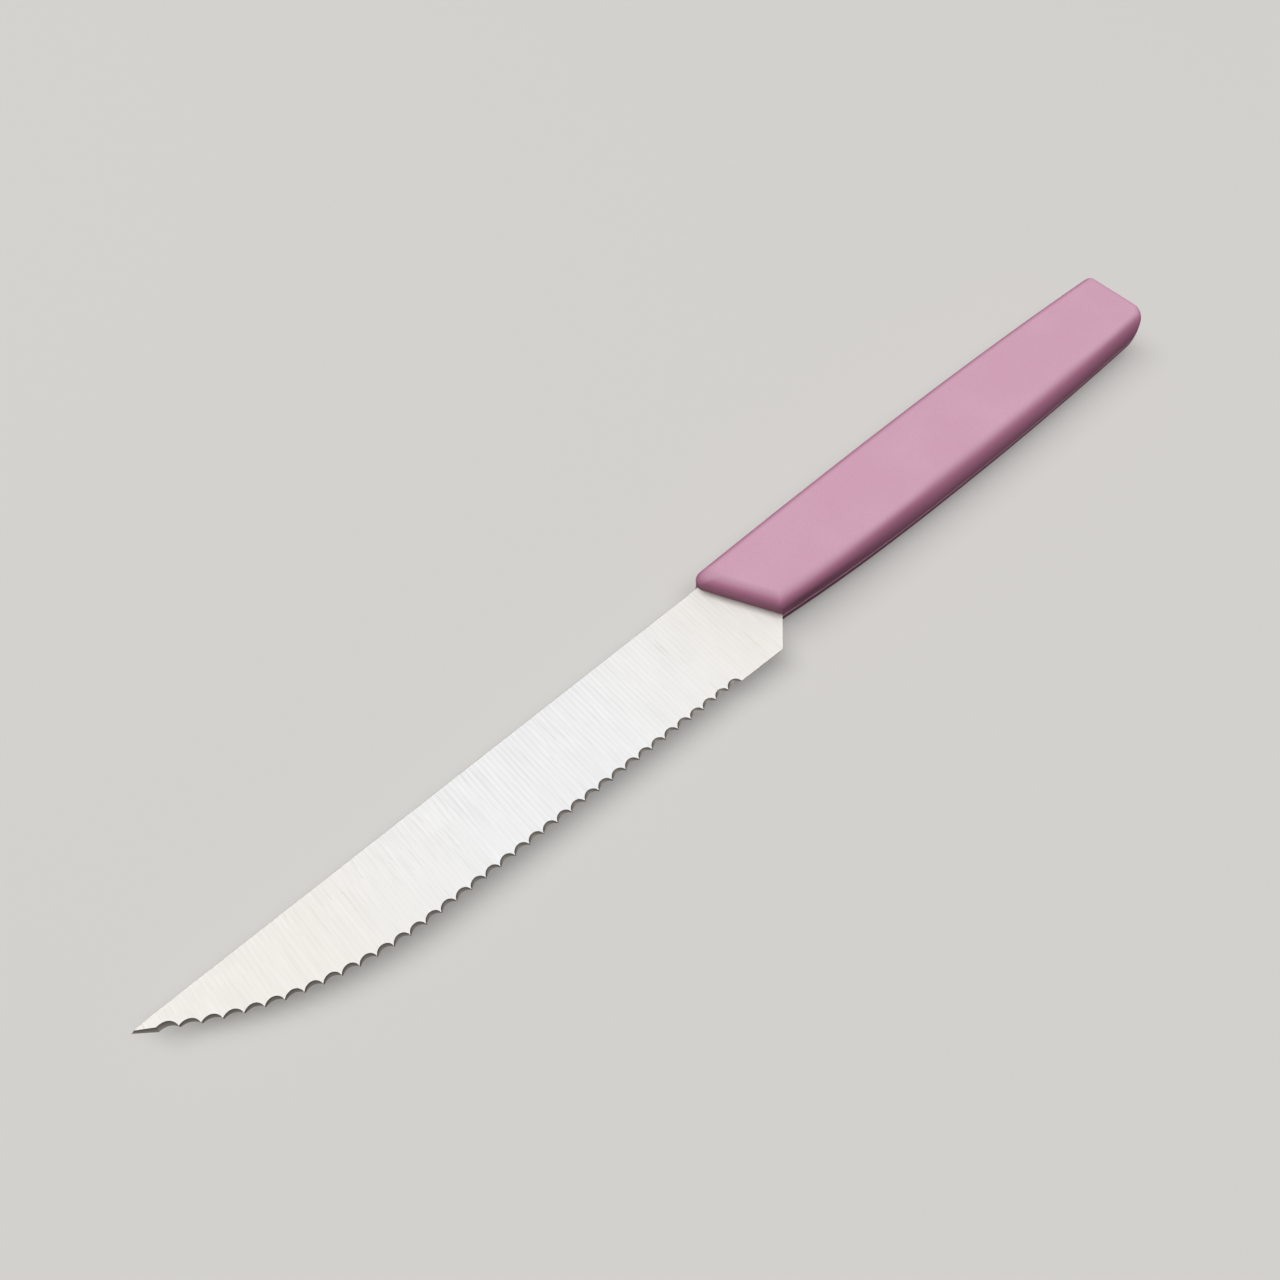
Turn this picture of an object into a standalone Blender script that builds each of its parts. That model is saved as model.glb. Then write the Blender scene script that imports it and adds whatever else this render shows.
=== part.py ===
"""Serrated steak knife, lying on its right side with the tip towards +X and the edge towards +Y.

It is three pieces. A blade is stamped from strip, ground to a taper and scalloped from its left
side, with a half tang inside the handle. Two moulded shells meet in the blade's middle plane
and close round the tang: the left shell's pins pass through the tang into the right shell.

Sizes are in millimetres, and MM turns them into metres when a mesh is made. A point is written
as (u, v): u runs from the front of the handle towards the tip, and v from the spine towards
the cutting edge.
"""
import math

import bmesh
import bpy

MM = 0.001

# The whole knife
BLADE_LENGTH = 113.1         # front of the handle, measured at the spine, to the tip
HANDLE_LENGTH = 111.3        # front of the handle, measured at the spine, to the butt
FIT_GAP = 0.3                # clearance between pieces that touch

# Blade: stamped blank
SPINE_THICKNESS = 1.1        # strip thickness, kept along the spine and in the tang
EDGE_THICKNESS = 0.25        # left at the heel after taper grinding
HEEL_DEPTH = 19.07           # spine to the heel corner
HEEL_SETBACK = 3.95          # heel corner behind the front of the handle
HEEL_RADIUS = 0.8
CHOIL_ANGLE = math.radians(46.0)
EDGE_TAPER = math.radians(1.98)
EDGE_RADIUS = 75.8           # sweep of the cutting edge up to the tip
TIP_DROP = 0.3               # the spine falls this far towards the point
TIP_DROP_LENGTH = 4.8

# Blade: scalloped edge
TOOTH_PITCH = 2.814          # along the blade
LEFT_SCALLOP_DEPTH = 1.12    # where the wheel leaves the left face
RIGHT_SCALLOP_DEPTH = 0.7    # where it leaves the right face, which is the cutting edge
PLAIN_TIP = 3.27             # unserrated edge at the tip
PLAIN_HEEL = 5.3             # least unserrated edge ahead of the handle
TIP_PROUD = 0.4              # the plain edge at the tip stands this far outside the teeth
TIP_BEVEL = 0.35             # width of the bevel ground along it on the left side
SCALLOP_STEPS = 8
TIP_STEPS = 4

# Blade: tang inside the handle
PLUNGE_SETBACK = 2.5         # the taper grinding stops this far behind the handle's front face
SHOULDER_SETBACK = 6.0
TANG_LENGTH = 74.0           # front of the handle to the end of the tang
TANG_TOP = 2.6               # below the spine line
TANG_ROOT_DEPTH = 11.6       # lower edge of the tang where it leaves the choil
TANG_END_DEPTH = 10.4
TANG_END_RADIUS = 3.0
TANG_HOLE_RADIUS = 2.0

# Handle: outer form
HANDLE_THICKNESS = 10.4
FRONT_SLANT = math.radians(29.3)
SPINE_SIDE = (-1.4, -1.84, -1.56, -0.2)     # v at the front, at both thirds and at the butt
BELLY_SIDE = (13.05, 16.1, 16.8, 15.95)
FRONT_ROUNDING = 2.4         # between the front face and the flats
BUTT_ROUNDING = 2.5
SIDE_ROUNDING = 2.7          # the sides round from the seam to the flats over this width
SPINE_FRONT_CORNER = 1.7     # this corner keeps its radius from the seam to the flats
BELLY_FRONT_CORNER = 0.6     # the other corners' radii at the seam
BELLY_BUTT_CORNER = 4.3
SPINE_BUTT_CORNER = 2.2
LEAST_CORNER = 0.3

# Handle: inside of each shell
WALL = 2.0
FRONT_BLOCK = 14.0           # solid length that grips the root of the blade
BUTT_WALL = 2.6
BAY_COUNT = 6
RIB_THICKNESS = 1.6
BAY_CORNER = 1.2
BAY_ROUNDING = 1.0           # chamfer round the floor of a bay
BOSS_RADIUS = 3.6
BOSS_SETBACK = 0.1           # a boss ends this far below the shell's seam face
PIN_RADIUS = 1.7
PIN_REACH = 3.0              # a pin's length past the seam
PIN_PLACES = (24.0, 60.0, 96.0)    # behind the front of the handle; the last is behind the tang
PIN_DEPTH = 7.0              # below the spine line

HALF_THICKNESS = HANDLE_THICKNESS / 2
FRONT_X = (HANDLE_LENGTH - BLADE_LENGTH) / 2
SEAM_HALF_GAP = FIT_GAP / 2
OVERCUT = 1.0                # a cutter runs this far past the face that it opens
TANGENT_REACH = 0.5          # a side's direction at a corner is taken over this length
SMOOTH_ANGLE = math.radians(25.0)
WELD = 1e-7                  # metres
MEET_ROUNDS = 20
ROUNDING_STEPS = 9
CORNER_STEPS = 6
BELLY_STEPS = 20
SPINE_STEPS = 14
CIRCLE_STEPS = 32


def clear_scene():
    """Remove whatever the scene holds."""
    for thing in list(bpy.data.objects):
        bpy.data.objects.remove(thing, do_unlink=True)


def linear(hex_colour):
    """Linear RGBA of an sRGB hex colour."""
    channels = [int(hex_colour[i:i + 2], 16) / 255 for i in (0, 2, 4)]
    return [c / 12.92 if c <= 0.04045 else ((c + 0.055) / 1.055) ** 2.4 for c in channels] + [1.0]


def make_material(name, hex_colour, metallic, roughness):
    material = bpy.data.materials.new(name)
    material.use_nodes = True
    shader = material.node_tree.nodes["Principled BSDF"]
    shader.inputs["Base Color"].default_value = linear(hex_colour)
    shader.inputs["Metallic"].default_value = metallic
    shader.inputs["Roughness"].default_value = roughness
    return material


# Plane geometry

def arc_points(centre, radius, start, end, steps):
    """Points on an arc from one angle to another, both ends included."""
    angles = [start + (end - start) * i / steps for i in range(steps + 1)]
    return [(centre[0] + radius * math.cos(a), centre[1] + radius * math.sin(a)) for a in angles]


def round_corner(before, corner, after, radius, steps):
    """The arc that rounds a convex corner of an outline that runs counter-clockwise."""
    back = math.atan2(before[1] - corner[1], before[0] - corner[0])
    ahead = math.atan2(after[1] - corner[1], after[0] - corner[0])
    opening = (back - ahead) % math.tau
    reach = radius / math.sin(opening / 2)
    bisector = ahead + opening / 2
    centre = (corner[0] + reach * math.cos(bisector), corner[1] + reach * math.sin(bisector))
    turn = math.pi - opening
    start = back + math.pi / 2
    return arc_points(centre, radius, start, start + turn, steps)


def cubic_through(values, t):
    """The cubic that takes four values at t = 0, 1/3, 2/3 and 1."""
    total = 0.0
    for i, value in enumerate(values):
        weight = 1.0
        for j in range(4):
            if j != i:
                weight *= (3 * t - j) / (i - j)
        total += value * weight
    return total


# Blade outline

def edge_line(u):
    """Depth of the straight part of the cutting edge, which tapers from the heel."""
    return HEEL_DEPTH - math.tan(EDGE_TAPER) * (u + HEEL_SETBACK)


def edge_sweep():
    """Start and centre of the arc that leaves the straight edge and passes under the tip."""
    tip_depth = TIP_DROP - TIP_PROUD
    tip_rise = (edge_line(BLADE_LENGTH) - tip_depth) * math.cos(EDGE_TAPER)
    along = math.sqrt(2 * EDGE_RADIUS * tip_rise - tip_rise ** 2)
    forward = (math.cos(EDGE_TAPER), -math.sin(EDGE_TAPER))
    inward = (-math.sin(EDGE_TAPER), -math.cos(EDGE_TAPER))
    start = (BLADE_LENGTH - tip_rise * inward[0] - along * forward[0],
             tip_depth - tip_rise * inward[1] - along * forward[1])
    centre = (start[0] + EDGE_RADIUS * inward[0], start[1] + EDGE_RADIUS * inward[1])
    return start, centre


def edge_depth(u):
    """Depth of the line on which the points of the teeth lie."""
    start, centre = edge_sweep()
    if u <= start[0]:
        return edge_line(u)
    return centre[1] + math.sqrt(EDGE_RADIUS ** 2 - (u - centre[0]) ** 2)


def tooth_points():
    """The points of the teeth, from the tip to the heel. The first one ends the plain edge."""
    first = BLADE_LENGTH - PLAIN_TIP
    count = int((first - PLAIN_HEEL) / TOOTH_PITCH)
    places = [first - TOOTH_PITCH * i for i in range(count + 1)]
    return [(places[0], edge_depth(places[0]) + TIP_PROUD)] + [(u, edge_depth(u)) for u in places[1:]]


def beveled_tip(tooth, bevel):
    """The end of the spine and the first tooth's point, moved in by the bevel."""
    slope = math.atan2(tooth[1] - TIP_DROP, BLADE_LENGTH - tooth[0])
    tip_u = BLADE_LENGTH - bevel / math.sin(slope)
    return tip_u, (tooth[0] - bevel * math.sin(slope), tooth[1] - bevel * math.cos(slope))


def scallop(a, b, depth):
    """The arc that the wheel leaves between two tooth points, without its last point.

    The wheel plunges square to the spine, so it bites less where the edge slants.
    """
    chord = math.dist(a, b)
    cos_slant = (a[0] - b[0]) / chord
    rise = depth * cos_slant ** 2
    radius = (chord ** 2 / 4 + rise ** 2) / (2 * rise)
    half_turn = 2 * math.atan(2 * rise / chord)
    across = ((b[0] - a[0]) / chord, (b[1] - a[1]) / chord)
    inward = (-across[1], across[0])
    middle = ((a[0] + b[0]) / 2, (a[1] + b[1]) / 2)
    centre = [middle[i] + inward[i] * (rise - radius) for i in (0, 1)]
    points = []
    for step in range(SCALLOP_STEPS):
        angle = half_turn * (2 * step / SCALLOP_STEPS - 1)
        side, rest = radius * math.sin(angle), radius * math.cos(angle)
        points.append(tuple(centre[i] + across[i] * side + inward[i] * rest for i in (0, 1)))
    return points


def choil_at_depth(v):
    """Place of the choil, the slanted back of the heel, at a depth."""
    return -HEEL_SETBACK - (HEEL_DEPTH - v) / math.tan(CHOIL_ANGLE)


def front_at_depth(v):
    """Place of the handle's slanted front face at a depth."""
    return -v * math.tan(FRONT_SLANT)


def plunge_root(setback, choil_offset):
    """Where the end of the taper grinding meets the choil, moved outwards by an offset."""
    slide = choil_offset / math.sin(CHOIL_ANGLE)
    slope = math.tan(CHOIL_ANGLE)
    u = -(setback + math.tan(FRONT_SLANT) * (HEEL_DEPTH + slope * (HEEL_SETBACK + slide)))
    u /= 1 + math.tan(FRONT_SLANT) * slope
    return u, HEEL_DEPTH + slope * (u + HEEL_SETBACK + slide)


def ground_outline(scallop_depth, bevel):
    """The ground part of the blade, from the spine at the handle round the tip to the choil."""
    teeth = tooth_points()
    tip_u, teeth[0] = beveled_tip(teeth[0], bevel)
    drop_start = BLADE_LENGTH - TIP_DROP_LENGTH
    points = [(-PLUNGE_SETBACK, 0.0)]
    for step in range(TIP_STEPS + 1):
        run = (tip_u - drop_start) * step / TIP_STEPS
        points.append((drop_start + run, TIP_DROP * (run / TIP_DROP_LENGTH) ** 2))
    for a, b in zip(teeth, teeth[1:]):
        points += scallop(a, b, scallop_depth)
    points.append(teeth[-1])
    heel = (-HEEL_SETBACK, HEEL_DEPTH)
    root = plunge_root(PLUNGE_SETBACK, 0.0)
    points += round_corner(teeth[-1], heel, root, HEEL_RADIUS, CORNER_STEPS)
    points.append(root)
    return points


def tang_outline(grow):
    """The tang behind the taper grinding, from the choil round its end to the spine."""
    root_depth = TANG_ROOT_DEPTH + grow
    end_depth = TANG_END_DEPTH + grow
    top = TANG_TOP - grow
    end = -TANG_LENGTH - grow
    slide = grow / math.sin(CHOIL_ANGLE)
    root = (choil_at_depth(root_depth) - slide, root_depth)
    lower, upper = (end, end_depth), (end, top)
    radius = TANG_END_RADIUS + grow
    points = [root]
    points += round_corner(root, lower, upper, radius, CORNER_STEPS)
    points += round_corner(lower, upper, (0.0, top), radius, CORNER_STEPS)
    points += [(-SHOULDER_SETBACK - grow, top), (-SHOULDER_SETBACK - grow, -grow)]
    return points


# Solids

def place(u, v, z):
    """A point of the knife in metres, with z measured from the middle plane of the blade."""
    return ((u + FRONT_X) * MM, (v + SPINE_Y) * MM, (z + HALF_THICKNESS) * MM)


def new_object(name, bm, material=None):
    bmesh.ops.recalc_face_normals(bm, faces=bm.faces)
    mesh = bpy.data.meshes.new(name)
    bm.to_mesh(mesh)
    bm.free()
    thing = bpy.data.objects.new(name, mesh)
    bpy.context.collection.objects.link(thing)
    if material:
        mesh.materials.append(material)
        mesh.shade_smooth()
        mesh.set_sharp_from_angle(angle=SMOOTH_ANGLE)
    return thing


def loft(bm, rings):
    """A closed solid through rings of places that all have as many points."""
    layers = [[bm.verts.new(co) for co in ring] for ring in rings]
    bm.faces.new(layers[0])
    bm.faces.new(layers[-1])
    for low, high in zip(layers, layers[1:]):
        for i in range(len(low)):
            bm.faces.new((low[i - 1], low[i], high[i], high[i - 1]))


def add_cylinder(bm, u, v, radius, z_from, z_to):
    circle = arc_points((u, v), radius, 0.0, math.tau, CIRCLE_STEPS)[:-1]
    loft(bm, [[place(*point, z) for point in circle] for z in (z_from, z_to)])


def ground_half(v):
    """Half the thickness of the ground blade at a depth."""
    return (SPINE_THICKNESS + (EDGE_THICKNESS - SPINE_THICKNESS) * v / HEEL_DEPTH) / 2


def blank(bm, left_outline, right_outline, tang, grow):
    """The blade as one solid: a tapered front, and a flat tang that is as thick as the spine.

    The front's first and last points lie where the taper grinding stops. There the tang's
    faces stand above the ground ones by a step, which dies out at the spine.
    """
    flat = SPINE_THICKNESS / 2 + grow
    root = left_outline[-1]
    start = left_outline[0]
    front, back = {}, {}
    for side, ground in ((1, left_outline), (-1, right_outline)):
        front[side] = [bm.verts.new(place(u, v, side * (ground_half(v - start[1]) + grow)))
                       for u, v in ground]
        back[side] = [bm.verts.new(place(*p, side * flat)) for p in [root] + tang + [start]]
        bm.faces.new(front[side])
        bm.faces.new(back[side])
        bm.faces.new((front[side][-1], front[side][0], back[side][-1], back[side][0]))
    last = len(back[1]) - 1
    for i in range(1, len(front[1])):
        bm.faces.new((front[1][i - 1], front[1][i], front[-1][i], front[-1][i - 1]))
    for i in range(2, last):
        bm.faces.new((back[1][i - 1], back[1][i], back[-1][i], back[-1][i - 1]))
    bm.faces.new((back[1][1], back[1][0], front[1][-1], front[-1][-1], back[-1][0], back[-1][1]))
    bm.faces.new((back[1][last - 1], back[1][last], front[1][0],
                  front[-1][0], back[-1][last], back[-1][last - 1]))
    bmesh.ops.remove_doubles(bm, verts=bm.verts, dist=WELD)


def cut(target, cutter, operation="DIFFERENCE"):
    """Give an object a Boolean with a hidden cutter."""
    cutter.hide_render = True
    cutter.display_type = "WIRE"
    modifier = target.modifiers.new(cutter.name, "BOOLEAN")
    modifier.operation = operation
    modifier.solver = "EXACT"
    modifier.object = cutter


def tang_pins():
    """The pin places that lie within the tang."""
    return [s for s in PIN_PLACES if s < TANG_LENGTH - TANG_END_RADIUS]


def build_blade(material):
    bm = bmesh.new()
    left = ground_outline(LEFT_SCALLOP_DEPTH, TIP_BEVEL)
    right = ground_outline(RIGHT_SCALLOP_DEPTH, 0.0)
    blank(bm, left, right, tang_outline(0.0), 0.0)
    blade = new_object("blade", bm, material)
    bm = bmesh.new()
    for s in tang_pins():
        add_cylinder(bm, -s, PIN_DEPTH, TANG_HOLE_RADIUS, -HALF_THICKNESS, HALF_THICKNESS)
    cut(blade, new_object("tang_hole_punch", bm))
    return blade


# Handle outline

def rounded_inset(z, width, height):
    """How far a side has moved in at a height above the seam, when it rounds to the flat."""
    start = HALF_THICKNESS - height
    if z <= start:
        return 0.0
    return width * (1 - math.sqrt(max(0.0, 1 - ((z - start) / height) ** 2)))


def side_curve(values, u, inset):
    return cubic_through(values, -u / HANDLE_LENGTH) + inset


def meet(line_u, curve_v):
    """The point where a line, u from v, meets a side, v from u."""
    v = 0.0
    for _ in range(MEET_ROUNDS):
        v = curve_v(line_u(v))
    return line_u(v), v


def outline(front, butt, spine, belly, radii):
    """A closed outline between two ends and two sides, with its four corners rounded.

    The radii are for the corners spine-front, front-belly, belly-butt and butt-spine.
    """
    first, second = meet(front, spine), meet(front, belly)
    third, fourth = meet(butt, belly), meet(butt, spine)
    arcs = [round_corner(beside(first, spine, -1), first, second, radii[0], CORNER_STEPS),
            round_corner(first, second, beside(second, belly, -1), radii[1], CORNER_STEPS),
            round_corner(beside(third, belly, 1), third, fourth, radii[2], CORNER_STEPS),
            round_corner(third, fourth, beside(fourth, spine, 1), radii[3], CORNER_STEPS)]
    points = arcs[0] + arcs[1]
    points += along_side(arcs[1][-1][0], arcs[2][0][0], belly, BELLY_STEPS)
    points += arcs[2] + arcs[3]
    points += along_side(arcs[3][-1][0], arcs[0][0][0], spine, SPINE_STEPS)
    return points


def beside(corner, curve, direction):
    """A point of a side close to a corner, which gives the side's direction there."""
    u = corner[0] + direction * TANGENT_REACH
    return u, curve(u)


def along_side(u_from, u_to, curve, steps):
    """Points of a side strictly between two places."""
    places = [u_from + (u_to - u_from) * i / steps for i in range(1, steps)]
    return [(u, curve(u)) for u in places]


def handle_outline(z):
    """The handle's outline at a height above the seam."""
    front_in = rounded_inset(z, FRONT_ROUNDING, FRONT_ROUNDING)
    butt_in = rounded_inset(z, BUTT_ROUNDING, BUTT_ROUNDING)
    side_in = rounded_inset(z, SIDE_ROUNDING, HALF_THICKNESS)
    shrinking = [(BELLY_FRONT_CORNER, front_in), (BELLY_BUTT_CORNER, butt_in),
                 (SPINE_BUTT_CORNER, butt_in)]
    radii = [SPINE_FRONT_CORNER]
    radii += [max(LEAST_CORNER, radius - max(end_in, side_in)) for radius, end_in in shrinking]
    return outline(lambda v: front_at_depth(v) - front_in / math.cos(FRONT_SLANT),
                   lambda v: -HANDLE_LENGTH + butt_in,
                   lambda u: side_curve(SPINE_SIDE, u, side_in),
                   lambda u: side_curve(BELLY_SIDE, u, -side_in),
                   radii)


def bay_outline(front_u, butt_u, inset):
    """One bay between two ribs, inside the wall."""
    return outline(lambda v: front_u - inset, lambda v: butt_u + inset,
                   lambda u: side_curve(SPINE_SIDE, u, WALL + inset),
                   lambda u: side_curve(BELLY_SIDE, u, -WALL - inset),
                   [BAY_CORNER] * 4)


# Handle shells

def shell_body(side, name, material):
    """The outer form of one shell, from the seam to its flat."""
    heights = [SEAM_HALF_GAP]
    for step in range(1, ROUNDING_STEPS + 1):
        heights.append(HALF_THICKNESS * math.sin(math.pi / 2 * step / ROUNDING_STEPS))
    bm = bmesh.new()
    loft(bm, [[place(*p, side * z) for p in handle_outline(z)] for z in heights])
    return new_object(name, bm, material)


def bay_cutter(side, name):
    """The hollows between the ribs, open to the seam."""
    ceiling = HALF_THICKNESS - WALL
    length = (HANDLE_LENGTH - FRONT_BLOCK - BUTT_WALL + RIB_THICKNESS) / BAY_COUNT
    bm = bmesh.new()
    for i in range(BAY_COUNT):
        front_u = -FRONT_BLOCK - length * i
        butt_u = front_u - length + RIB_THICKNESS
        rings = [(-OVERCUT, 0.0), (ceiling - BAY_ROUNDING, 0.0), (ceiling, BAY_ROUNDING)]
        loft(bm, [[place(*p, side * z) for p in bay_outline(front_u, butt_u, inset)]
                  for z, inset in rings])
    return new_object(name, bm)


def boss_adder(side, name):
    """The pillars that carry the pins or their sockets."""
    top = side * (SEAM_HALF_GAP + BOSS_SETBACK)
    foot = side * (HALF_THICKNESS - WALL / 2)
    bm = bmesh.new()
    for s in PIN_PLACES:
        add_cylinder(bm, -s, PIN_DEPTH, BOSS_RADIUS, top, foot)
    return new_object(name, bm)


def slot_cutter(name):
    """The blade's root and tang, grown by the clearance, with the front run out of the handle."""
    far = PLUNGE_SETBACK + HEEL_DEPTH
    root = plunge_root(PLUNGE_SETBACK, FIT_GAP)
    slide = FIT_GAP / math.sin(CHOIL_ANGLE)
    front = [(-PLUNGE_SETBACK, -FIT_GAP), (far, -FIT_GAP), (far, HEEL_DEPTH),
             (choil_at_depth(HEEL_DEPTH) - slide, HEEL_DEPTH), root]
    bm = bmesh.new()
    blank(bm, front, front, tang_outline(FIT_GAP), FIT_GAP)
    return new_object(name, bm)


def build_left_shell(material):
    shell = shell_body(1, "handle_left_shell", material)
    cut(shell, bay_cutter(1, "left_bays"))
    cut(shell, boss_adder(1, "left_bosses"), "UNION")
    cut(shell, slot_cutter("left_slot"))
    bm = bmesh.new()
    for s in PIN_PLACES:
        add_cylinder(bm, -s, PIN_DEPTH, PIN_RADIUS, HALF_THICKNESS - WALL, -PIN_REACH)
    cut(shell, new_object("left_pins", bm), "UNION")
    return shell


def build_right_shell(material):
    shell = shell_body(-1, "handle_right_shell", material)
    cut(shell, bay_cutter(-1, "right_bays"))
    cut(shell, boss_adder(-1, "right_bosses"), "UNION")
    cut(shell, slot_cutter("right_slot"))
    bm = bmesh.new()
    for s in PIN_PLACES:
        add_cylinder(bm, -s, PIN_DEPTH, PIN_RADIUS + FIT_GAP, OVERCUT, -PIN_REACH - FIT_GAP)
    cut(shell, new_object("right_sockets", bm))
    return shell


DEEPEST = max(v for _, v in ground_outline(LEFT_SCALLOP_DEPTH, TIP_BEVEL))
HIGHEST = min(v for _, v in handle_outline(0.0))
SPINE_Y = -(DEEPEST + HIGHEST) / 2    # centres the knife's width on the origin

clear_scene()
steel = make_material("ground_stainless_steel", "DEDEDC", 1.0, 0.32)
plastic = make_material("mauve_moulded_plastic", "CEA2B6", 0.0, 0.55)
build_blade(steel)
build_left_shell(plastic)
build_right_shell(plastic)
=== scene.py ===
"""The looks of a serrated steak knife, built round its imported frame.

A ground steel blade is held between two moulded handle shells. Each piece replaces the CAD node
that it details, keeps that node's place and rides on the knife's one body.

Sizes are in millimetres. A point of the knife is (u, v, z): u runs from the front of the handle
towards the tip, v from the spine towards the cutting edge, and z up from the blade's middle plane.
"""
import logging
import math
from dataclasses import dataclass
from enum import Enum
from typing import Callable, NamedTuple, Sequence

import bpy
from mathutils import Matrix, Vector

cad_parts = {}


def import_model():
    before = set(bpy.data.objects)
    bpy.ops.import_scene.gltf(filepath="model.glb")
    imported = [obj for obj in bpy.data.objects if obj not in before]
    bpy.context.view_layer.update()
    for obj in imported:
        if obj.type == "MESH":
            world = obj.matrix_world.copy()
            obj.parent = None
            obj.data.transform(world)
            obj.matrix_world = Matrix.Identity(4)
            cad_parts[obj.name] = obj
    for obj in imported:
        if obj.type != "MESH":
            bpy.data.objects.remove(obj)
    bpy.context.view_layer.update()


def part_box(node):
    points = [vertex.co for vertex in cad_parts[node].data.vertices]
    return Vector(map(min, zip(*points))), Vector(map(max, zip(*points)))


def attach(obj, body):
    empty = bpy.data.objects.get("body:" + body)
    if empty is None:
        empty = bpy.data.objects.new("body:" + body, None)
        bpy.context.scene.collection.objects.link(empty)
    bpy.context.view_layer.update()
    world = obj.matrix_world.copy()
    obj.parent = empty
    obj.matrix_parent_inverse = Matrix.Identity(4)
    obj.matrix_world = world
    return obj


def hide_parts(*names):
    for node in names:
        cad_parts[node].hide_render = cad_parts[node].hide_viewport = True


MM = 0.001
LOG = logging.getLogger("steak_knife")

CUT = {"operation": "DIFFERENCE", "solver": "EXACT"}
JOIN = {"operation": "UNION", "solver": "EXACT"}
TIMES = {"operation": "MULTIPLY"}
COLOUR = {"data_type": "RGBA"}
TINT = {"data_type": "RGBA", "blend_type": "MULTIPLY"}
SOFT_NOISE = (1.0, 0.5)              # detail and roughness of each kind of noise
CLOUD_NOISE = (2.0, 0.5)
GRAIN_NOISE = (2.0, 0.6)
GRIT_NOISE = (3.0, 0.6)
WAVE_LENGTH = math.tau / 20          # of a wave texture at a scale of 1
FRONT_SLANT = math.radians(29.3)     # of the handle's front
SOCKETS = {int: "NodeSocketInt", float: "NodeSocketFloat", Vector: "NodeSocketVector",
           bpy.types.Material: "NodeSocketMaterial"}

Point = tuple[float, float]
Pair = tuple[float, float]           # a size, or the two ends of a range
Curve = Callable[[float], float]
Sockets = dict[str, bpy.types.NodeSocket]


class Side(Enum):
    """The two sides of the knife as it lies, and the sign of z on each."""
    LEFT = 1
    RIGHT = -1


# Nodes and meshes

def linear(hex_colour: str) -> tuple[float, float, float, float]:
    """Turn an sRGB hex colour into linear RGBA.

    Args:
        hex_colour: six hex digits.

    Returns:
        Red, green, blue and an alpha of 1.
    """
    channels = [int(hex_colour[i:i + 2], 16) / 255 for i in (0, 2, 4)]
    red, green, blue = [c / 12.92 if c <= 0.04045 else ((c + 0.055) / 1.055) ** 2.4 for c in channels]
    return red, green, blue, 1.0


def feed(node: bpy.types.Node, values: Sequence[object], named: dict[str, object]) -> None:
    """Set or link a node's inputs.

    Args:
        node: the node.
        values: its first inputs in order, each a value, a socket to link, or None to leave alone.
        named: further inputs by name.
    """
    sockets = [s for s in node.inputs if s.enabled]
    wanted = list(zip(sockets, values))
    wanted += [(next(s for s in sockets if s.name == name), value) for name, value in named.items()]
    for socket, value in wanted:
        if isinstance(value, bpy.types.NodeSocket):
            node.id_data.links.new(value, socket)
        elif value is not None:
            socket.default_value = value


def add_node(tree: bpy.types.NodeTree, kind: str, settings: dict[str, object] | None = None,
             *values: object, **named: object) -> bpy.types.NodeSocket | bpy.types.Node:
    """Add a node with its settings and links.

    Args:
        tree: the node tree that gets the node.
        kind: Blender's name for the type of node.
        settings: the node's own properties.
        values: its first inputs in order, as for feed.
        named: further inputs by name.

    Returns:
        The node's first output that is in use, or the node itself where it has none.
    """
    node = tree.nodes.new(kind)
    for name, value in (settings or {}).items():
        setattr(node, name, value)
    feed(node, values, named)
    return next((s for s in node.outputs if s.enabled), node)


def new_material(name: str) -> tuple[bpy.types.Material, bpy.types.NodeTree, bpy.types.Node]:
    """Start a material.

    Args:
        name: what the material is and how it was made.

    Returns:
        The material, its tree and its shader.
    """
    material = bpy.data.materials.new(name)
    material.use_nodes = True
    return material, material.node_tree, material.node_tree.nodes["Principled BSDF"]


def new_tree(name: str, values: dict[str, object]) -> tuple[bpy.types.NodeTree, Sockets]:
    """Start a Geometry Nodes tree with a named input for each of its values.

    Args:
        name: name of the tree.
        values: what each input will be set to, by the input's name.

    Returns:
        The tree, and its input sockets by name with the geometry as "Geometry".
    """
    tree = bpy.data.node_groups.new(name, "GeometryNodeTree")
    tree.interface.new_socket("Geometry", in_out="INPUT", socket_type="NodeSocketGeometry")
    for label, value in values.items():
        tree.interface.new_socket(label, in_out="INPUT", socket_type=SOCKETS[type(value)])
    tree.interface.new_socket("Geometry", in_out="OUTPUT", socket_type="NodeSocketGeometry")
    start = add_node(tree, "NodeGroupInput").node
    return tree, {s.name: s for s in start.outputs if s.name}


def row_of(tree: bpy.types.NodeTree, given: Sockets, label: str,
           shape: bpy.types.NodeSocket) -> bpy.types.NodeSocket:
    """Repeat a shape along a row.

    Args:
        tree: the Geometry Nodes tree.
        given: its inputs, with the row's count, first place and pitch among them.
        label: what the shape is called in the names of these inputs.
        shape: the shape.

    Returns:
        The copies.
    """
    row = add_node(tree, "GeometryNodeMeshLine", {}, given[f"{label} Count"],
                   given[f"First {label}"], given[f"{label} Pitch"])
    return add_node(tree, "GeometryNodeInstanceOnPoints", {}, row, True, shape)


def run_tree(piece: bpy.types.Object, tree: bpy.types.NodeTree, values: dict[str, object]) -> None:
    """Put a Geometry Nodes tree on an object.

    Args:
        piece: object that gets the modifier.
        tree: the tree to run.
        values: what each named input is set to.
    """
    modifier = piece.modifiers.new(tree.name, "NODES")
    modifier.node_group = tree
    identifiers = {item.name: item.identifier for item in tree.interface.items_tree
                   if item.item_type == "SOCKET" and item.in_out == "INPUT"}
    for label, value in values.items():
        modifier[identifiers[label]] = value


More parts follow.
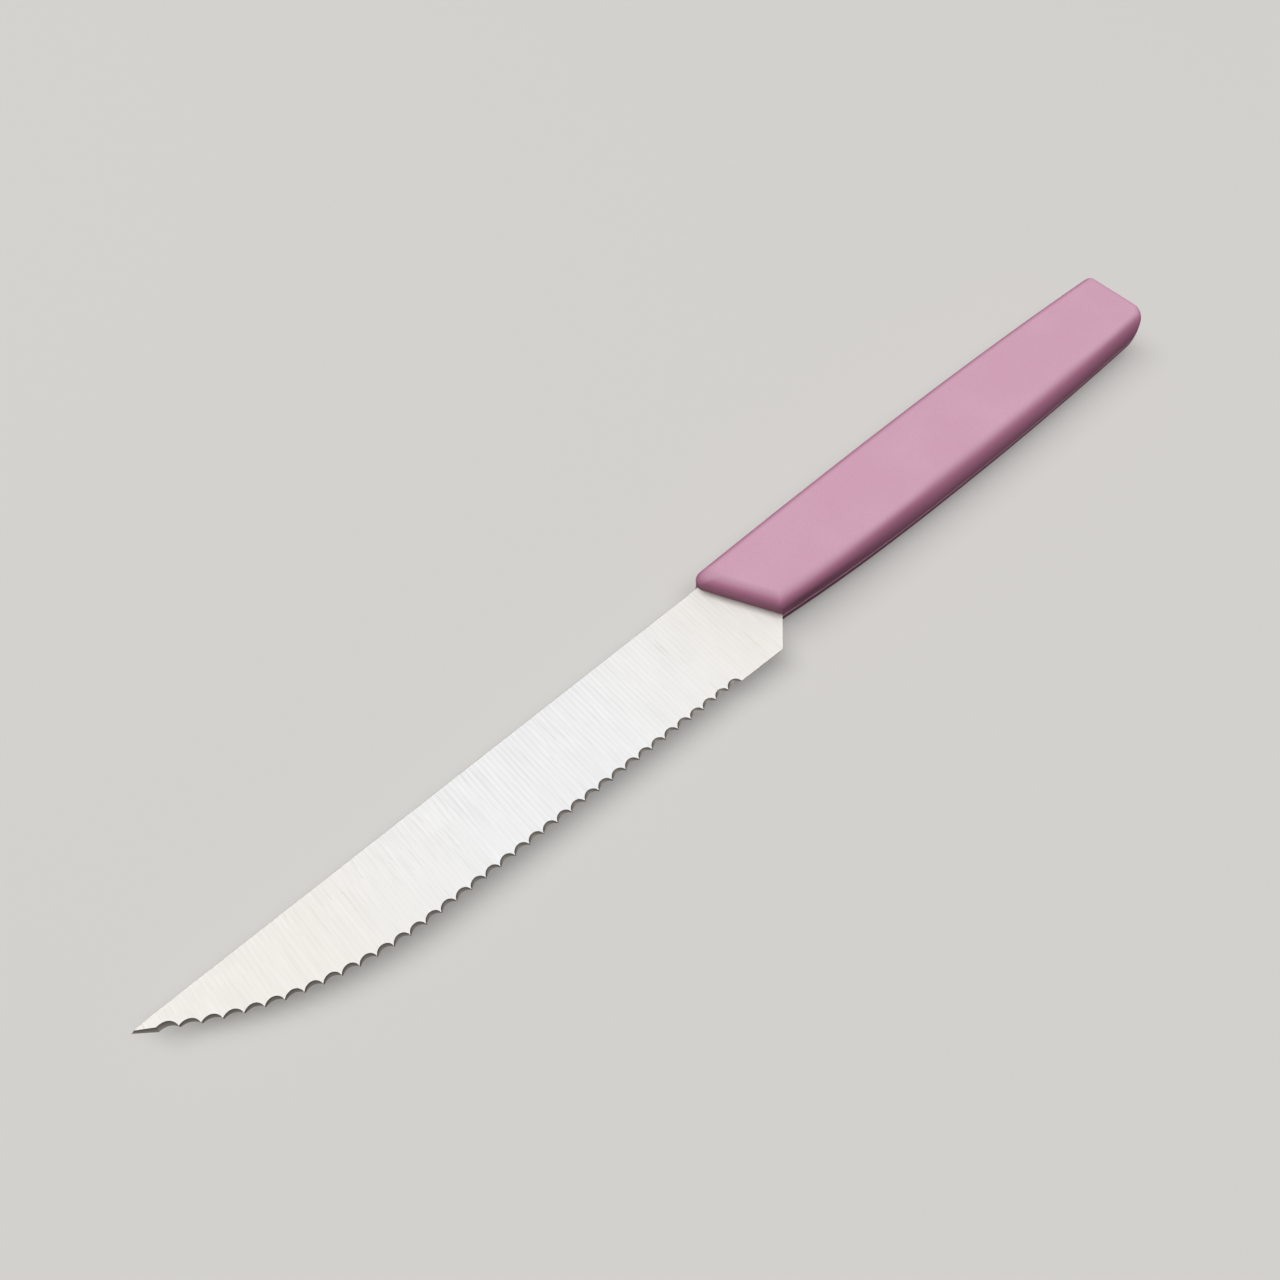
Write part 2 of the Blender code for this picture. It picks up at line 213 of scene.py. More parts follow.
def finish_tree(tree: bpy.types.NodeTree, geometry: bpy.types.NodeSocket,
                crease: bpy.types.NodeSocket, finishes: Sequence[tuple]) -> None:
    """End a tree: smooth shading with creased edges, real geometry, and its finishes.

    Args:
        tree: the tree to end.
        geometry: the socket that carries the finished shape.
        crease: an edge sharper than this angle stays sharp.
        finishes: pairs of a material socket and a selection, True for every face.
    """
    smooth_faces = add_node(tree, "GeometryNodeSetShadeSmooth", {"domain": "FACE"}, geometry, True, True)
    angle = add_node(tree, "GeometryNodeInputMeshEdgeAngle")
    sharp = add_node(tree, "FunctionNodeCompare", {"operation": "GREATER_THAN"}, angle, crease)
    creased = add_node(tree, "GeometryNodeSetShadeSmooth", {"domain": "EDGE"}, smooth_faces, sharp, False)
    result = add_node(tree, "GeometryNodeRealizeInstances", {}, creased)
    for material, selection in finishes:
        result = add_node(tree, "GeometryNodeSetMaterial", {}, result, selection, material)
    add_node(tree, "NodeGroupOutput", {}, result)


def solid(name: str, points: Sequence, faces: Sequence) -> bpy.types.Object:
    """Make an object of points and faces.

    Args:
        name: name of the object and its mesh.
        points: corners.
        faces: for each face, its corners' places in the list.

    Returns:
        The object, linked to the scene.
    """
    mesh = bpy.data.meshes.new(name)
    mesh.from_pydata(points, [], faces)
    mesh.update()
    thing = bpy.data.objects.new(name, mesh)
    bpy.context.collection.objects.link(thing)
    return thing


def loft(name: str, rings: Sequence[Sequence]) -> bpy.types.Object:
    """Make a closed solid through rings of points.

    Args:
        name: name of the object.
        rings: rings with equal numbers of points, counter-clockwise seen from the last ring's side.

    Returns:
        The solid.
    """
    count = len(rings[0])
    faces = [list(range(count))[::-1], list(range(count * (len(rings) - 1), count * len(rings)))]
    for low in range(0, count * (len(rings) - 1), count):
        faces += [(low + (i - 1) % count, low + i, low + i + count, low + (i - 1) % count + count)
                  for i in range(count)]
    return solid(name, [point for ring in rings for point in ring], faces)


def settle(piece: bpy.types.Object, helpers: Sequence[bpy.types.Object]) -> None:
    """Turn a piece with its modifiers into a plain mesh and drop what shaped it.

    Args:
        piece: the object to settle.
        helpers: cutters that aren't needed after it.
    """
    weighted = piece.modifiers.new("even_flats", "WEIGHTED_NORMAL")
    weighted.keep_sharp = True
    graph = bpy.context.evaluated_depsgraph_get()
    mesh = bpy.data.meshes.new_from_object(piece.evaluated_get(graph), depsgraph=graph)
    mesh.name = piece.name
    piece.modifiers.clear()
    piece.data = mesh
    for helper in helpers:
        bpy.data.objects.remove(helper)


def report(piece: bpy.types.Object) -> None:
    """Log a finished piece and its size.

    Args:
        piece: the finished object.
    """
    size = [round(d / MM, 1) for d in piece.dimensions]
    LOG.info("%s: %d faces, %s mm", piece.name, len(piece.data.polygons), size)


# Plane geometry

def arc_points(centre: Point, radius: float, start: float, end: float, steps: int) -> list[Point]:
    """Walk along an arc.

    Args:
        centre: the arc's centre.
        radius: its radius.
        start: its first angle.
        end: its last angle.
        steps: how many steps lie between them.

    Returns:
        Points from start to end, both included.
    """
    angles = [start + (end - start) * i / steps for i in range(steps + 1)]
    return [(centre[0] + radius * math.cos(a), centre[1] + radius * math.sin(a)) for a in angles]


def round_corner(before: Point, corner: Point, after: Point, radius: float, steps: int) -> list[Point]:
    """Round a convex corner of an outline that runs counter-clockwise.

    Args:
        before: a point on the side that comes in.
        corner: the sharp corner.
        after: a point on the side that goes out.
        radius: radius of the rounding.
        steps: how many steps the arc has.

    Returns:
        The arc's points.
    """
    back = math.atan2(before[1] - corner[1], before[0] - corner[0])
    ahead = math.atan2(after[1] - corner[1], after[0] - corner[0])
    opening = (back - ahead) % math.tau
    reach = radius / math.sin(opening / 2)
    bisector = ahead + opening / 2
    centre = (corner[0] + reach * math.cos(bisector), corner[1] + reach * math.sin(bisector))
    start = back + math.pi / 2
    return arc_points(centre, radius, start, start + math.pi - opening, steps)


def cubic_through(values: Sequence[float], t: float) -> float:
    """Evaluate the cubic that takes four values at t = 0, 1/3, 2/3 and 1.

    Args:
        values: the four values.
        t: where to evaluate it.

    Returns:
        The cubic's value at t.
    """
    total = 0.0
    for i, value in enumerate(values):
        weight = 1.0
        for j in range(len(values)):
            if j != i:
                weight *= (3 * t - j) / (i - j)
        total += value * weight
    return total


def smooth(value: float, start: float, end: float) -> float:
    """Ease from 0 at start to 1 at end, clamped at both."""
    share = min(1.0, max(0.0, (value - start) / (end - start)))
    return share * share * (3 - 2 * share)


def between(a: Point, b: Point, share: float) -> Point:
    """The point at a share of the way from a to b."""
    return a[0] + (b[0] - a[0]) * share, a[1] + (b[1] - a[1]) * share


# Finishes

@dataclass(frozen=True)
class CrossGroundSteel:
    """Martensitic stainless strip, taper ground across its width on a belt.

    The belt leaves hair-fine lines nearly square to the spine, with a few deeper ones and a faint even
    ripple from the belt's joint, so the steel looks white under a broad light, with a slight difference
    of tone from line to line.
    """
    bright: str = "D8D8D8"
    streak: str = "CECECE"
    scratch: str = "B3B0AD"
    warm: str = "FFFCF7"             # the worn belt gave the heel and the point a warmer cut
    warm_middle: float = 40.0        # measured along the frame's X, like the reaches from it below
    warm_start: float = 15.0
    warm_full: float = 42.0
    roughness: float = 0.6
    anisotropy: float = 0.9          # the lines spread a reflection along the blade, not across it
    line: Pair = (0.17, 11.0)        # width and length; a real line is 0.03 mm wide
    band: Pair = (0.9, 33.0)
    scratch_size: Pair = (0.22, 17.6)
    band_share: float = 0.14         # of the bands in the tone, beside the lines
    line_range: Pair = (0.36, 0.62)  # of the noise, from the streak to the bright tone
    scratch_range: Pair = (0.7, 0.76)  # of its own noise: only the peaks show
    scratch_share: float = 0.4
    ripple_pitch: float = 0.88
    ripple_wander: float = 0.6
    ripple_share: Pair = (0.3, 0.65)  # of the tone, from patch to patch
    ripple_patch: float = 14.0
    patch_range: Pair = (0.35, 0.65)
    calm_along: Pair = (15.0, 32.0)  # the marks get fainter away from the middle
    calm_across: Pair = (-1.0, 5.0)  # and towards the cutting edge
    calm: float = 0.5
    even_tone: float = 0.5           # what the marks fade to
    slant: float = math.radians(-2.5)
    satin_range: Pair = (0.3, 0.7)
    satin_swing: float = 0.02        # of the roughness, from line to line
    relief: float = 0.0016
    relief_strength: float = 0.2
    burnish: float = 0.28            # roughness of the edges, which were broken on a fine wheel
    edge_range: Pair = (0.95, 0.995)  # the normal's z from such an edge to the face

    def material(self) -> bpy.types.Material:
        """Build the material.

        Returns:
            The ground steel.
        """
        material, tree, shader = new_material("stainless_steel_cross_ground")
        place = add_node(tree, "ShaderNodeTexCoord").node.outputs["Object"]
        turned = add_node(tree, "ShaderNodeMapping", {}, place, None, (0.0, 0.0, self.slant))
        noises = []
        for width, length in (self.line, self.band, self.scratch_size):
            scale = (1 / (width * MM), 1 / (length * MM), 1 / (width * MM))
            spread = add_node(tree, "ShaderNodeMapping", {}, turned, None, None, scale)
            noises.append(add_node(tree, "ShaderNodeTexNoise", {}, spread, 1.0, *SOFT_NOISE))
        lines, bands, scratches = noises
        mixed = add_node(tree, "ShaderNodeMix", {}, self.band_share, lines, bands)
        fine = add_node(tree, "ShaderNodeMapRange", {}, mixed, *self.line_range, 0.0, 1.0)
        ripple = add_node(tree, "ShaderNodeTexWave", {}, turned, WAVE_LENGTH / (self.ripple_pitch * MM),
                          self.ripple_wander)
        patch = add_node(tree, "ShaderNodeTexNoise", {}, place, 1 / (self.ripple_patch * MM), *SOFT_NOISE)
        share = add_node(tree, "ShaderNodeMapRange", {}, patch, *self.patch_range, *self.ripple_share)
        marks = add_node(tree, "ShaderNodeMix", {}, share, fine, ripple)
        along = add_node(tree, "ShaderNodeSeparateXYZ", {}, place)
        aside = add_node(tree, "ShaderNodeMath", {"operation": "SUBTRACT"}, along, self.warm_middle * MM)
        away = add_node(tree, "ShaderNodeMath", {"operation": "ABSOLUTE"}, aside)
        reaches = ((away, self.calm_along), (along.node.outputs["Y"], self.calm_across))
        fades = [add_node(tree, "ShaderNodeMapRange", {}, far, start * MM, end * MM, 1.0, self.calm)
                 for far, (start, end) in reaches]
        strength = add_node(tree, "ShaderNodeMath", TIMES, *fades)
        tone = add_node(tree, "ShaderNodeMix", {}, strength, self.even_tone, marks)
        deep = add_node(tree, "ShaderNodeMapRange", {}, scratches, *self.scratch_range,
                        0.0, self.scratch_share)
        colour = add_node(tree, "ShaderNodeMix", COLOUR, tone, linear(self.streak), linear(self.bright))
        marked = add_node(tree, "ShaderNodeMix", COLOUR, deep, colour, linear(self.scratch))
        warmth = add_node(tree, "ShaderNodeMapRange", {}, away, self.warm_start * MM, self.warm_full * MM,
                          0.0, 1.0)
        toned = add_node(tree, "ShaderNodeMix", TINT, warmth, marked, linear(self.warm))
        satin = add_node(tree, "ShaderNodeMapRange", {}, mixed, *self.satin_range,
                         self.roughness + self.satin_swing, self.roughness - self.satin_swing)
        facing = add_node(tree, "ShaderNodeTexCoord").node.outputs["Normal"]
        rise = add_node(tree, "ShaderNodeSeparateXYZ", {}, facing).node.outputs["Z"]
        level = add_node(tree, "ShaderNodeMath", {"operation": "ABSOLUTE"}, rise)
        flat = add_node(tree, "ShaderNodeMapRange", {}, level, *self.edge_range, 0.0, 1.0)
        feed(shader, (), {
            "Base Color": toned, "Metallic": 1.0,
            "Roughness": add_node(tree, "ShaderNodeMix", {}, flat, self.burnish, satin),
            "Normal": add_node(tree, "ShaderNodeBump", {}, self.relief_strength, self.relief * MM,
                               Height=mixed),
            "Tangent": add_node(tree, "ShaderNodeCombineXYZ", {}, 1.0, 0.0, 0.0),
            "Anisotropic": add_node(tree, "ShaderNodeMath", TIMES, flat, self.anisotropy)})
        return material


@dataclass(frozen=True)
class WheelGroundSteel:
    """The same stainless steel where a dressed wheel ground the scallops after the faces were done.

    The fresh coarse grind has no polish, and its colour is darkened further by painted shade, most
    where the wheel broke through the polished face, so the crescents look a dark grey beside the faces.
    """
    inner_shaded: str = "5A5652"            # painted shade, darkest, where the wheel broke through the polished face
    outer_shaded: str = "837E77"            # painted shade, lighter, beside the cutting edge
    speck: str = "6D6863"
    roughness: float = 0.42
    roughness_swing: float = 0.06
    grit: float = 0.12
    grit_range: Pair = (0.35, 0.65)
    speck_share: float = 0.4
    across: str = "across"           # the blade's attribute: 1 on the left face, -1 on the right one
    across_range: Pair = (0.7, -0.5)  # from the inner to the outer shaded tone

    def material(self) -> bpy.types.Material:
        """Build the material.

        Returns:
            The coarser steel of the ground bevels.
        """
        material, tree, shader = new_material("stainless_steel_wheel_ground_shaded")
        place = add_node(tree, "ShaderNodeTexCoord").node.outputs["Object"]
        grain = add_node(tree, "ShaderNodeTexNoise", {}, place, 1 / (self.grit * MM), *GRIT_NOISE)
        tone = add_node(tree, "ShaderNodeMapRange", {}, grain, *self.grit_range, 0.0, self.speck_share)
        across = add_node(tree, "ShaderNodeAttribute", {"attribute_name": self.across}).node.outputs["Fac"]
        depth = add_node(tree, "ShaderNodeMapRange", {}, across, *self.across_range, 0.0, 1.0)
        # painted shade: the bevel's colour is darkened, most along its inner side
        band = add_node(tree, "ShaderNodeMix", COLOUR, depth, linear(self.inner_shaded), linear(self.outer_shaded))
        feed(shader, (), {
            "Base Color": add_node(tree, "ShaderNodeMix", COLOUR, tone, band, linear(self.speck)),
            "Metallic": 1.0,
            "Roughness": add_node(tree, "ShaderNodeMapRange", {}, grain, *self.grit_range,
                                  self.roughness + self.roughness_swing,
                                  self.roughness - self.roughness_swing)})
        return material


@dataclass(frozen=True)
class SatinPlastic:
    """Polypropylene moulded in a tool with a fine spark-eroded surface.

    It has an even satin look: no sharp reflections, a soft sheen along the roundings, a grain that
    is only felt, hardly seen, and pigment that is very slightly uneven over a few millimetres. The
    flats carry that uneven tone and a painted sheen, which makes them paler; both give way on the side
    walls, so the roundings show a deeper colour. The front carries painted shade, a slightly darker
    colour, and pale lines are painted as highlights across the front and on the lower shell's seam edge.
    """
    flat: str = "CA9AB1"
    pale: str = "D2A6BB"
    wall: str = "C3819F"
    front: str = "F4F4F4"            # painted shade: the front face's colour is a little darker
    front_shade_range: Pair = (0.05, 0.3)  # the normal's x over which the painted shade comes in, from the side to the front
    highlight_line_top: float = 8.4         # top of a painted highlight: a pale line across the front face
    highlight_line_foot: float = 7.2           # the painted highlight fades out down to here
    highlight_line_share: float = 0.35
    seam_highlight: str = "E6BCD0"              # painted highlight on the lower shell's up-facing edge at the seam
    seam_highlight_height: float = 5.0
    seam_highlight_half_width: float = 0.21
    seam_highlight_range: Pair = (0.1, 0.4)     # the normal's z over which the painted highlight comes in, only on what faces up
    painted_sheen_range: Pair = (0.995, 0.55)  # the normal's z over which the painted sheen and the mottled tone give way to the wall colour
    roughness: float = 0.46
    roughness_swing: float = 0.05
    gloss: float = 0.01              # the fine texture scatters nearly all of a plain surface's reflection
    refraction: float = 1.49
    grain: float = 0.22
    flow: float = 9.0
    grain_share: float = 0.65        # of the grain in the tone, beside the uneven pigment
    tone_range: Pair = (0.3, 0.7)    # of both noises, from the flat to the pale tone
    relief: float = 0.008
    relief_strength: float = 0.3

    def material(self) -> bpy.types.Material:
        """Build the material.

        Returns:
            The satin plastic.
        """
        material, tree, shader = new_material("polypropylene_satin_mauve_painted_light")
        place = add_node(tree, "ShaderNodeTexCoord").node.outputs["Object"]
        flow = add_node(tree, "ShaderNodeTexNoise", {}, place, 1 / (self.flow * MM), *CLOUD_NOISE)
        grain = add_node(tree, "ShaderNodeTexNoise", {}, place, 1 / (self.grain * MM), *GRAIN_NOISE)
        mottled = add_node(tree, "ShaderNodeMix", {}, self.grain_share, flow, grain)
        tone = add_node(tree, "ShaderNodeMapRange", {}, mottled, *self.tone_range, 0.0, 1.0)
        texture = add_node(tree, "ShaderNodeMix", COLOUR, tone, linear(self.flat), linear(self.pale))
        facing = add_node(tree, "ShaderNodeTexCoord").node.outputs["Normal"]
        ahead = add_node(tree, "ShaderNodeSeparateXYZ", {}, facing)
        rise = ahead.node.outputs["Z"]
        steep = add_node(tree, "ShaderNodeMath", {"operation": "ABSOLUTE"}, rise)
        # painted sheen: flats facing up are paler and turn to the deeper wall colour as the surface turns
        painted_sheen_fade = add_node(tree, "ShaderNodeMapRange", {"interpolation_type": "SMOOTHSTEP"}, steep,
                        *self.painted_sheen_range, 0.0, 1.0)
        with_painted_sheen = add_node(tree, "ShaderNodeMix", COLOUR, painted_sheen_fade, texture, linear(self.wall))
        # painted shade: the front face is tinted a little darker where its normal faces forward
        forward = add_node(tree, "ShaderNodeMapRange", {}, ahead, *self.front_shade_range, 0.0, 1.0)
        moulded = add_node(tree, "ShaderNodeMix", TINT, forward, with_painted_sheen, linear(self.front))
        # painted highlight: a pale line across the front face, strongest just under its top and fading
        # downwards
        height = add_node(tree, "ShaderNodeSeparateXYZ", {}, place).node.outputs["Z"]
        under = add_node(tree, "ShaderNodeMath", {"operation": "LESS_THAN"}, height, self.highlight_line_top * MM)
        fade = add_node(tree, "ShaderNodeMapRange", {}, height, self.highlight_line_foot * MM, self.highlight_line_top * MM,
                        0.0, self.highlight_line_share)
        edge = add_node(tree, "ShaderNodeMath", TIMES, add_node(tree, "ShaderNodeMath", TIMES, under, fade),
                        forward)
        highlight_lined = add_node(tree, "ShaderNodeMix", COLOUR, edge, moulded, linear(self.pale))
        # painted highlight: a pale band on the up-facing lip just under the seam
        band = add_node(tree, "ShaderNodeMath", {"operation": "COMPARE"}, height, self.seam_highlight_height * MM,
                        self.seam_highlight_half_width * MM)
        upwards = add_node(tree, "ShaderNodeMapRange", {}, rise, *self.seam_highlight_range, 0.0, 1.0)
        seam_highlight_mask = add_node(tree, "ShaderNodeMath", TIMES, band, upwards)
        feed(shader, (), {
            "Base Color": add_node(tree, "ShaderNodeMix", COLOUR, seam_highlight_mask, highlight_lined, linear(self.seam_highlight)),
            "Roughness": add_node(tree, "ShaderNodeMapRange", {}, grain, *self.tone_range,
                                  self.roughness - self.roughness_swing,
                                  self.roughness + self.roughness_swing),
            "Normal": add_node(tree, "ShaderNodeBump", {}, self.relief_strength, self.relief * MM,
                               Height=grain),
            "IOR": self.refraction, "Specular IOR Level": self.gloss})
        return material


# Sub-assemblies

@dataclass(frozen=True)
class KnifeAxes:
    """Where the knife's own coordinates start in the frame, in millimetres."""
    front: float
    spine: float
    middle: float

    def place(self, u: float, v: float, z: float) -> Vector:
        """A point of the knife in the frame, in metres."""
        return Vector((u + self.front, v + self.spine, z + self.middle)) * MM


@dataclass(frozen=True)
class PinRow:
    """The evenly spaced pins that close the handle, also where their bosses and the tang's holes are."""
    first: float = -24.0
    pitch: float = -36.0
    depth: float = 7.0


class Column(NamedTuple):
    """One place on the blade's outline, where a wall runs from the left face to the right one.

    On a scallop left and right are the middle of the chord between two tooth points, and the wheel
    moves the column out to its arc.
    """
    left: Point
    right: Point
    chord: Point = (0.0, 0.0)
    left_chord: Point = (0.0, 0.0)
    turn: float = 0.0
    rounding: float = 0.1
    in_tang: float = 0.0
    bevelled: bool = False

    def reached(self) -> Point:
        """Where the column stands on the chord before the wheel moves it."""
        run, climb = self.left_chord
        return self.left[0] + run * self.turn / 2, self.left[1] + climb * self.turn / 2


@dataclass(frozen=True)
class Blade:
    """The stamped, taper-ground and scalloped blade with its half tang."""
    axes: KnifeAxes
    pins: PinRow
    length: float = 113.1
    spine_thickness: float = 1.1
    edge_thickness: float = 0.25
    heel_depth: float = 19.07
    heel_setback: float = 3.95
    heel_radius: float = 0.8
    choil_angle: float = math.radians(46.0)
    edge_taper: float = math.radians(1.98)
    edge_radius: float = 75.8
    tip_drop: float = 0.3
    tip_drop_length: float = 4.8
    tooth_pitch: float = 2.814
    left_depth: float = 1.24
    right_depth: float = 0.7
    plain_tip: float = 3.27
    plain_heel: float = 5.3
    tip_proud: float = 0.4
    tip_bevel: float = 0.35
    tooth_bevels: tuple[float, ...] = (0.7, 0.18, 0.07, 0.03)    # the first teeth, where the edge slants
    bevel_lean: float = 0.18
    thin_start: float = 88.0         # from here the blade gets thinner towards its point
    tip_share: float = 0.27          # what is left of the thickness there
    front_slant: float = FRONT_SLANT
    plunge_setback: float = 2.5
    shoulder_setback: float = 6.0
    tang_length: float = 74.0
    tang_top: float = 2.6
    tang_root_depth: float = 11.6
    tang_end_depth: float = 10.4
    tang_end_radius: float = 3.0
    tang_hole_radius: float = 2.0
    tang_holes: int = 2
    punch_height: float = 4.0
    spine_rounding: float = 0.22
    choil_rounding: float = 0.1
    edge_rounding: float = 0.02
    step_back: float = 0.05          # the tang's full thickness starts this far behind the ground part
    hole_steps: int = 48
    scallop_steps: int = 20
    plain_steps: int = 4
    corner_steps: int = 8
    rounding_steps: int = 3
    wall_steps: int = 2
    crease: float = math.radians(28.0)

    def edge_line(self, u: float) -> float:
        """Depth of the straight part of the cutting edge."""
        return self.heel_depth - math.tan(self.edge_taper) * (u + self.heel_setback)

    def edge_sweep(self) -> tuple[Point, Point]:
        """Find the arc that leaves the straight edge and passes under the tip.

        Returns:
            The arc's start and its centre.
        """
        tip_depth = self.tip_drop - self.tip_proud
        rise = (self.edge_line(self.length) - tip_depth) * math.cos(self.edge_taper)
        along = math.sqrt(2 * self.edge_radius * rise - rise ** 2)
        forward = (math.cos(self.edge_taper), -math.sin(self.edge_taper))
        inward = (-math.sin(self.edge_taper), -math.cos(self.edge_taper))
        start = (self.length - rise * inward[0] - along * forward[0],
                 tip_depth - rise * inward[1] - along * forward[1])
        return start, (start[0] + self.edge_radius * inward[0], start[1] + self.edge_radius * inward[1])

    def edge_depth(self, u: float) -> float:
        """Find the depth of the line on which the tooth points lie.

        Args:
            u: place along the blade.

        Returns:
            The line's v.
        """
        start, centre = self.edge_sweep()
        if u <= start[0]:
            return self.edge_line(u)
        return centre[1] + math.sqrt(self.edge_radius ** 2 - (u - centre[0]) ** 2)

    def tooth_points(self) -> list[Point]:
        """Find the points of the teeth.

        Returns:
            The points from the tip to the heel. The first one ends the plain edge.
        """
        first = self.length - self.plain_tip
        count = int((first - self.plain_heel) / self.tooth_pitch)
        places = [first - self.tooth_pitch * i for i in range(count + 1)]
        return [(places[0], self.edge_depth(places[0]) + self.tip_proud)] + \
            [(u, self.edge_depth(u)) for u in places[1:]]

    def plunge_root(self) -> Point:
        """Find where the end of the taper grinding meets the choil.

        Returns:
            The point on the choil.
        """
        slope = math.tan(self.choil_angle)
        lean = math.tan(self.front_slant)
        u = -(self.plunge_setback + lean * (self.heel_depth + slope * self.heel_setback)) / (1 + lean * slope)
        return u, self.heel_depth + slope * (u + self.heel_setback)

    def tang_points(self, grow: float) -> list[Point]:
        """Outline the tang behind the taper grinding.

        Args:
            grow: how far the outline is moved outwards.

        Returns:
            Points from the choil round the tang's end to the spine.
        """
        root_depth = self.tang_root_depth + grow
        choil = -self.heel_setback - (self.heel_depth - root_depth) / math.tan(self.choil_angle)
        top = self.tang_top - grow
        end = -self.tang_length - grow
        root = (choil - grow / math.sin(self.choil_angle), root_depth)
        lower, upper = (end, self.tang_end_depth + grow), (end, top)
        radius = self.tang_end_radius + grow
        return [root, *round_corner(root, lower, upper, radius, self.corner_steps),
                *round_corner(lower, upper, (0.0, top), radius, self.corner_steps),
                (-self.shoulder_setback - grow, top), (-self.shoulder_setback - grow, -grow)]

    def tip_columns(self, teeth: Sequence[Point]) -> list[Column]:
        """Lay out the end of the spine and the plain edge at the tip.

        Args:
            teeth: the points of the teeth.

        Returns:
            Columns from the end of the straight spine to just before the first tooth point. The left
            outline stands in from the right one by the bevel.
        """
        slope = math.atan2(teeth[0][1] - self.tip_drop, self.length - teeth[0][0])
        left_end = self.length - self.tip_bevel / math.sin(slope)
        left_tooth = self.left_teeth(teeth)[0]
        start = self.length - self.tip_drop_length
        columns = []
        for step in range(self.plain_steps + 1):
            share = step / self.plain_steps
            pair = [(start + (end - start) * share,
                     self.tip_drop * ((end - start) * share / self.tip_drop_length) ** 2)
                    for end in (left_end, self.length)]
            rounding = self.spine_rounding + (self.edge_rounding - self.spine_rounding) * share
            columns.append(Column(*pair, rounding=rounding, bevelled=step == self.plain_steps))
        left_tip, right_tip = columns[-1].left, columns[-1].right
        for step in range(1, self.plain_steps):
            share = step / self.plain_steps
            columns.append(Column(between(left_tip, left_tooth, share), between(right_tip, teeth[0], share),
                                  rounding=self.edge_rounding, bevelled=True))
        return columns

    def left_teeth(self, teeth: Sequence[Point]) -> list[Point]:
        """Find the teeth's points on the left face.

        Args:
            teeth: the teeth's points on the right face.

        Returns:
            The same points, the first ones moved in by their bevels.
        """
        insets = [*self.tooth_bevels] + [0.0] * (len(teeth) - len(self.tooth_bevels))
        return [(u - self.bevel_lean * inset, v - inset) for (u, v), inset in zip(teeth, insets)]

    def columns(self) -> list[Column]:
        """Lay out the whole outline, from the spine at the handle round the tip to the tang.

        Returns:
            The columns in order, counter-clockwise seen from the left.
        """
        teeth = self.tooth_points()
        left_teeth = self.left_teeth(teeth)
        start = (-self.plunge_setback, 0.0)
        columns = [Column(start, start, rounding=self.spine_rounding)]
        columns += self.tip_columns(teeth)
        for i in range(len(teeth) - 1):
            left = between(left_teeth[i], left_teeth[i + 1], 0.5)
            right = between(teeth[i], teeth[i + 1], 0.5)
            chord, left_chord = [(row[i + 1][0] - row[i][0], row[i + 1][1] - row[i][1])
                                 for row in (teeth, left_teeth)]
            for step in range(self.scallop_steps):
                turn = 2 * step / self.scallop_steps - 1
                columns.append(Column(left, right, chord, left_chord, turn,
                                      rounding=self.edge_rounding, bevelled=True))
        heel, root = (-self.heel_setback, self.heel_depth), self.plunge_root()
        plain = [teeth[-1]] + round_corner(teeth[-1], heel, root, self.heel_radius, self.corner_steps)
        plain.append(root)
        for i, point in enumerate(plain):
            share = min(1.0, i / self.corner_steps)
            rounding = self.edge_rounding + (self.choil_rounding - self.edge_rounding) * share
            columns.append(Column(point, point, rounding=rounding))
        run = math.dist(root, plain[-2])
        behind = between(root, plain[-2], -self.step_back / run)
        for point in [behind] + self.tang_points(0.0):
            columns.append(Column(point, point, rounding=self.choil_rounding, in_tang=1.0))
        return columns

    def levels(self) -> list[tuple[float, float, float]]:
        """Lay out what stands on a column, from the left face to the right one.

        Returns:
            For each level its share of the half thickness, and how far the rounding moves it in and up,
            as shares of the radius.
        """
        turns = [math.pi / 2 * step / self.rounding_steps for step in range(self.rounding_steps + 1)]
        left = [(1.0, 1 - math.sin(turn), math.cos(turn) - 1) for turn in turns]
        walls = [(1 - 2 * step / self.wall_steps, 0.0, 2 * step / self.wall_steps - 1)
                 for step in range(1, self.wall_steps)]
        return left + walls + [(-share, inset, -lift) for share, inset, lift in reversed(left)]

    def blank(self) -> bpy.types.Object:
        """Make the unscalloped blank, with what the wheel needs to know stored on its corners.

        The blank's z is a share of the thickness: 1 on the left face and -1 on the right one.

        Returns:
            The blank, in millimetres.
        """
        columns, levels = self.columns(), self.levels()
        points, lifts = [], []
        for i, column in enumerate(columns):
            ahead = columns[(i + 1) % len(columns)].reached()
            back = columns[i - 1].reached()
            run = math.dist(back, ahead)
            inward = ((back[1] - ahead[1]) / run, (ahead[0] - back[0]) / run)
            for share, inset, lift in levels:
                base = between(column.right, column.left, (share + 1) / 2)
                shift = column.rounding * inset
                points.append((base[0] + inward[0] * shift, base[1] + inward[1] * shift, share))
                lifts.append(column.rounding * lift)
        depth = len(levels)
        faces, bevels = [], []
        for i in range(len(columns)):
            here, there = i * depth, (i + 1) % len(columns) * depth
            for k in range(depth - 1):
                faces.append((here + k, here + k + 1, there + k + 1, there + k))
                bevels.append(columns[i].bevelled)
        last_ground = next(i for i, column in enumerate(columns) if column.in_tang) - 1
        ground = list(range(last_ground + 1))
        tang = list(range(last_ground + 1, len(columns))) + [0]
        for group in (ground, tang, [0, last_ground, last_ground + 1]):
            faces.append([i * depth for i in group])
            faces.append([i * depth + depth - 1 for i in reversed(group)])
            bevels += [False, False]
        blank = solid("blade_ground", points, faces)
        stored = {"lift": lifts, "turn": [c.turn for c in columns for _ in levels],
                  "in_tang": [c.in_tang for c in columns for _ in levels]}
        for name, values in stored.items():
            blank.data.attributes.new(name, "FLOAT", "POINT").data.foreach_set("value", values)
